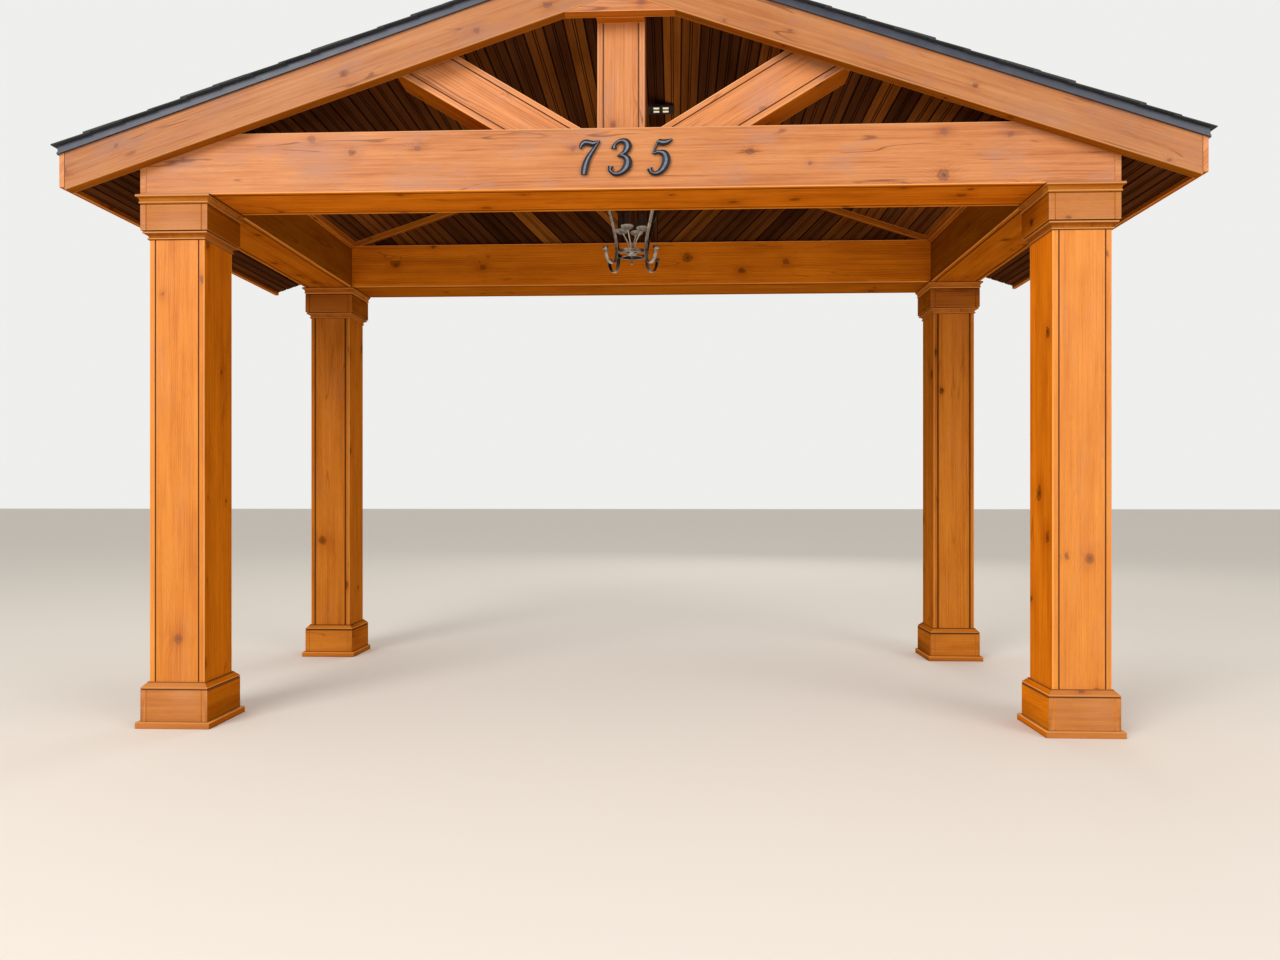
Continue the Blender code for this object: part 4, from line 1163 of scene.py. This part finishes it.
ventCell = {
    "width": 0.030,
    "length": 0.026,
    "thickness": 0.002,
    "pitchX": 0.0485,
    "pitchY": 0.040,
    "slats": 4,
    "slatShare": 0.86,  # of each slat's step, the rest is the gap
    "seatHeight": 0.0032,  # of a slat's middle over the vent's face
}
ventLook = {
    "pale": (0.950, 0.900, 0.680),
    "dirt": (0.800, 0.730, 0.500),
    "glow": (1.0, 0.92, 0.62),
    "strength": 0.45,
    "roughness": 0.5,
}


# the slats glow faintly: painted light, as the vent is no lamp
def ventPaint(tree, look):
    dirt = noiseNode(tree, objectPlace(tree), 90.0, 3.0, 0.6)
    return {
        "Base Color": mixColour(tree, rangeNode(tree, dirt, 0.4, 0.75), look["pale"], look["dirt"]),
        "Roughness": look["roughness"],
        "Emission Color": look["glow"],
        "Emission Strength": look["strength"],
    }


makeMaterial("vent_cell", ventPaint, ventLook)


def makeVentCells():  # pale slats inside the four recesses
    low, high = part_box("ceiling_vent")
    centre = (low + high) / 2
    work = bmesh.new()
    slatStep = ventCell["length"] / ventCell["slats"]
    size = (ventCell["width"], slatStep * ventCell["slatShare"], ventCell["thickness"])
    for xSide in (-1, 1):
        for ySide in (-1, 1):
            x = centre.x + xSide * ventCell["pitchX"] / 2
            y = centre.y + ySide * ventCell["pitchY"] / 2
            for slat in range(ventCell["slats"]):
                across = (slat - (ventCell["slats"] - 1) / 2) * slatStep
                made = bmesh.ops.create_cube(work, size=1)["verts"]
                bmesh.ops.scale(work, vec=size, verts=made)
                bmesh.ops.translate(work, vec=(x, y + across, low.z + ventCell["seatHeight"]), verts=made)
    mesh = bmeshToMesh("ventCells", work)
    mesh.materials.append(materials["vent_cell"])
    return finishPiece(newObject("ventCells", mesh))


makeVentCells()
print("stage 7: vent and lantern finished")


# numerals: bevelled metal strokes that stand off the beam
numerals = {
    "height": 0.143,
    "lowZ": 2.279,
    "lefts": (-0.172, -0.044, 0.119),
    "widths": (0.086, 0.090, 0.088),
    "slant": 0.24,
    "standOff": 0.006,
    "edge": 0.004,
    "crest": 0.0085,
    "drawnWidth": 0.62,  # of the strokes below
    "pinRadius": 0.003,
    "pinBite": 0.002,
    "smoothDegrees": 24,
    "boldness": 1.50,
    "flat": 0.30,
}
# the crest colours stand for the black metal's sheen: a painted reflection
numeralLook = {
    "edge": (0.006, 0.006, 0.008),
    "crest": (0.100, 0.120, 0.165),
    "wornAndSheen": (0.170, 0.195, 0.245),
    "roughness": 0.50,
    "specular": 0.25,
}

# each stroke is (x, y, half width) in shares of the numeral's height
digitStrokes = {
    "7": [
        [
            (0.04, 0.76, 0.020), (0.06, 0.86, 0.045), (0.14, 0.93, 0.055),
            (0.28, 0.92, 0.050), (0.42, 0.90, 0.048), (0.58, 0.97, 0.018),
        ],
        [
            (0.58, 0.97, 0.018), (0.44, 0.74, 0.040), (0.30, 0.48, 0.060),
            (0.24, 0.24, 0.070), (0.23, 0.02, 0.062),
        ],
    ],
    "3": [
        [
            (0.10, 0.74, 0.058), (0.12, 0.86, 0.034), (0.24, 0.96, 0.036), (0.40, 0.94, 0.060),
            (0.48, 0.80, 0.078), (0.42, 0.64, 0.052), (0.28, 0.55, 0.026),
        ],
        [
            (0.22, 0.55, 0.022), (0.38, 0.54, 0.040), (0.52, 0.42, 0.074), (0.52, 0.22, 0.082),
            (0.38, 0.06, 0.054), (0.20, 0.03, 0.036), (0.07, 0.12, 0.034), (0.07, 0.24, 0.058),
        ],
    ],
    "5": [
        [(0.20, 0.93, 0.050), (0.34, 0.90, 0.058), (0.48, 0.92, 0.050), (0.60, 0.99, 0.020)],
        [(0.20, 0.95, 0.020), (0.15, 0.78, 0.022), (0.10, 0.58, 0.022)],
        [
            (0.10, 0.58, 0.020), (0.24, 0.63, 0.034), (0.42, 0.58, 0.066), (0.50, 0.38, 0.082),
            (0.44, 0.16, 0.070), (0.28, 0.03, 0.044), (0.12, 0.05, 0.034), (0.05, 0.17, 0.056),
        ],
    ],
}


def numeralPaint(tree, look):  # black edges, the crest a blue grey painted reflection, mottled by wear
    place = objectPlace(tree)
    wearAndHighlight = noiseNode(tree, place, 90.0, 3.0, 0.55)
    crest = mixColour(tree, rangeNode(tree, wearAndHighlight, 0.40, 0.68), look["crest"], look["wornAndSheen"])
    return {
        "Base Color": mixColour(tree, readAttribute(tree, "crest"), look["edge"], crest),
        "Specular IOR Level": look["specular"],
        "Roughness": scaledSum(tree, wearAndHighlight, 0.20, look["roughness"] - 0.10),
    }


makeMaterial("numeral_black", numeralPaint, numeralLook)


def smoothStroke(points, steps=7):
    ends = [points[0], *points, points[-1]]
    line = []
    for before, start, stop, after in zip(ends, ends[1:], ends[2:], ends[3:]):
        for step in range(steps):
            t = step / steps
            line.append(tuple(
                0.5 * (2 * b + (c - a) * t + (2 * a - 5 * b + 4 * c - d) * t * t + (3 * b - a - 3 * c + d) * t ** 3)
                for a, b, c, d in zip(before, start, stop, after)
            ))
    line.append(points[-1])
    return line


def strokeSolid(work, points, place):
    line = smoothStroke(points)
    crest = work.faces.layers.float["crest"]
    flat, top, edge = numerals["flat"], numerals["crest"], numerals["edge"]
    section = [(-1.0, 0.0), (-1.0, edge), (-flat, top), (flat, top), (1.0, edge), (1.0, 0.0)]
    rings = []
    for index, (x, y, thin) in enumerate(line):
        half = thin * numerals["boldness"]
        ahead = line[min(index + 1, len(line) - 1)]
        behind = line[max(index - 1, 0)]
        along = Vector((ahead[0] - behind[0], ahead[1] - behind[1])).normalized()
        side = Vector((-along.y, along.x))
        ring = []
        for share, rise in section:
            ring.append(work.verts.new(place(x + side.x * half * share, y + side.y * half * share, rise)))
        rings.append(ring)
    for first, second in zip(rings, rings[1:]):
        for index in range(len(first)):
            after = (index + 1) % len(first)
            made = work.faces.new((first[index], first[after], second[after], second[index]))
            made[crest] = 1.0 if index == 2 else 0.0
    work.faces.new(list(reversed(rings[0])))
    work.faces.new(rings[-1])


def makeNumerals():
    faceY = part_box("front_beam")[0].y
    work = bmesh.new()
    work.faces.layers.float.new("crest")
    for digit, left, width in zip("735", numerals["lefts"], numerals["widths"]):
        tall = numerals["height"]

        def place(x, y, rise):
            slanted = x * width / tall / numerals["drawnWidth"] + (y - 0.5) * numerals["slant"] * 0.5
            return Vector((left + slanted * tall, faceY - numerals["standOff"] - rise, numerals["lowZ"] + y * tall))

        for stroke in digitStrokes[digit]:
            strokeSolid(work, stroke, place)
        for index in (1, -2):  # pins into the beam
            x, y, half = digitStrokes[digit][0 if index > 0 else -1][index]
            spot = place(x, y, 0)
            radius, depth = numerals["pinRadius"], numerals["standOff"] + numerals["pinBite"]
            pin = bmesh.ops.create_cone(
                work, cap_ends=True, segments=12, radius1=radius, radius2=radius, depth=depth,
            )["verts"]
            bmesh.ops.rotate(work, verts=pin, cent=(0, 0, 0), matrix=Matrix.Rotation(math.pi / 2, 3, "X"))
            bmesh.ops.translate(work, verts=pin, vec=(spot.x, faceY - numerals["standOff"] / 2, spot.z))
    bmesh.ops.recalc_face_normals(work, faces=work.faces)
    mesh = bmeshToMesh("houseNumerals", work)
    smoothByAngle(mesh, numerals["smoothDegrees"])
    mesh.materials.append(materials["numeral_black"])
    return finishPiece(newObject("houseNumerals", mesh))


makeNumerals()
print("stage 8: numerals mounted")


# floor, light and camera
studio = {
    "floorReach": 60,
    "floor": (0.78, 0.72, 0.64),
    "floorRoughness": 0.9,
    "light": (1.0, 0.99, 0.97),
    "lightStrength": 0.62,
    "backdrop": (0.86, 0.86, 0.85),
}


def floorPaint(tree, look):
    return {"Base Color": look["floor"], "Roughness": look["floorRoughness"]}


makeMaterial("paleFloor", floorPaint, studio)
reach = studio["floorReach"]
floorMesh = bpy.data.meshes.new("floor")
floorCorners = [(-reach, -reach, 0), (reach, -reach, 0), (reach, reach, 0), (-reach, reach, 0)]
floorMesh.from_pydata(floorCorners, [], [(0, 1, 2, 3)])
floorMesh.materials.append(materials["paleFloor"])
newObject("floor", floorMesh)

world = bpy.data.worlds.new("softStudio")
world.use_nodes = True
scene.world = world
sky = world.node_tree
lit = sky.nodes["Background"]
feed(sky, lit.inputs["Color"], studio["light"])
feed(sky, lit.inputs["Strength"], studio["lightStrength"])
shown = addNode(sky, "ShaderNodeBackground", {"Color": studio["backdrop"], "Strength": 1.0})
rays = addNode(sky, "ShaderNodeLightPath").outputs
seen = mathNode(sky, "MAXIMUM", rays["Is Camera Ray"], rays["Is Glossy Ray"])
seen = mathNode(sky, "MAXIMUM", seen, rays["Is Transmission Ray"])
mixed = addNode(sky, "ShaderNodeMixShader", {0: seen, 1: lit.outputs[0], 2: shown.outputs[0]})
feed(sky, sky.nodes["World Output"].inputs[0], mixed.outputs[0])

lamps = {
    "keyLamp": {"spot": (-4.5, -8.0, 6.0), "aim": (0, 0, 1.6), "size": 5.0, "watts": 600.0},
    "fillLamp": {"spot": (6.0, -6.5, 3.5), "aim": (0, 0, 1.6), "size": 5.0, "watts": 260.0},
    "backLamp": {"spot": (2.0, 8.0, 5.5), "aim": (0, 0, 1.8), "size": 5.0, "watts": 130.0},
}
for name, plan in lamps.items():
    light = bpy.data.lights.new(name, "AREA")
    light.shape = "DISK"
    light.size = plan["size"]
    light.energy = plan["watts"]
    lamp = newObject(name, light)
    lamp.location = plan["spot"]
    lamp.rotation_euler = (Vector(plan["aim"]) - Vector(plan["spot"])).to_track_quat("-Z", "Y").to_euler()

view = {"spot": (0.227, -4.6415, 0.971), "yaw": 0.0396, "focal": 904.7, "horizon": 495.4}  # focal and horizon in pixels
frameWidth, frameHeight, sensorWidth = 1280, 960, 36.0
cameraData = bpy.data.cameras.new("photoCamera")
cameraData.sensor_width = sensorWidth
cameraData.lens = view["focal"] / frameWidth * sensorWidth
cameraData.shift_y = (view["horizon"] - frameHeight / 2) / frameWidth
camera = newObject("photoCamera", cameraData)
camera.location = view["spot"]
camera.rotation_euler = (math.pi / 2, 0.0, view["yaw"])
scene.camera = camera
print("stage 9: floor, light and camera set")
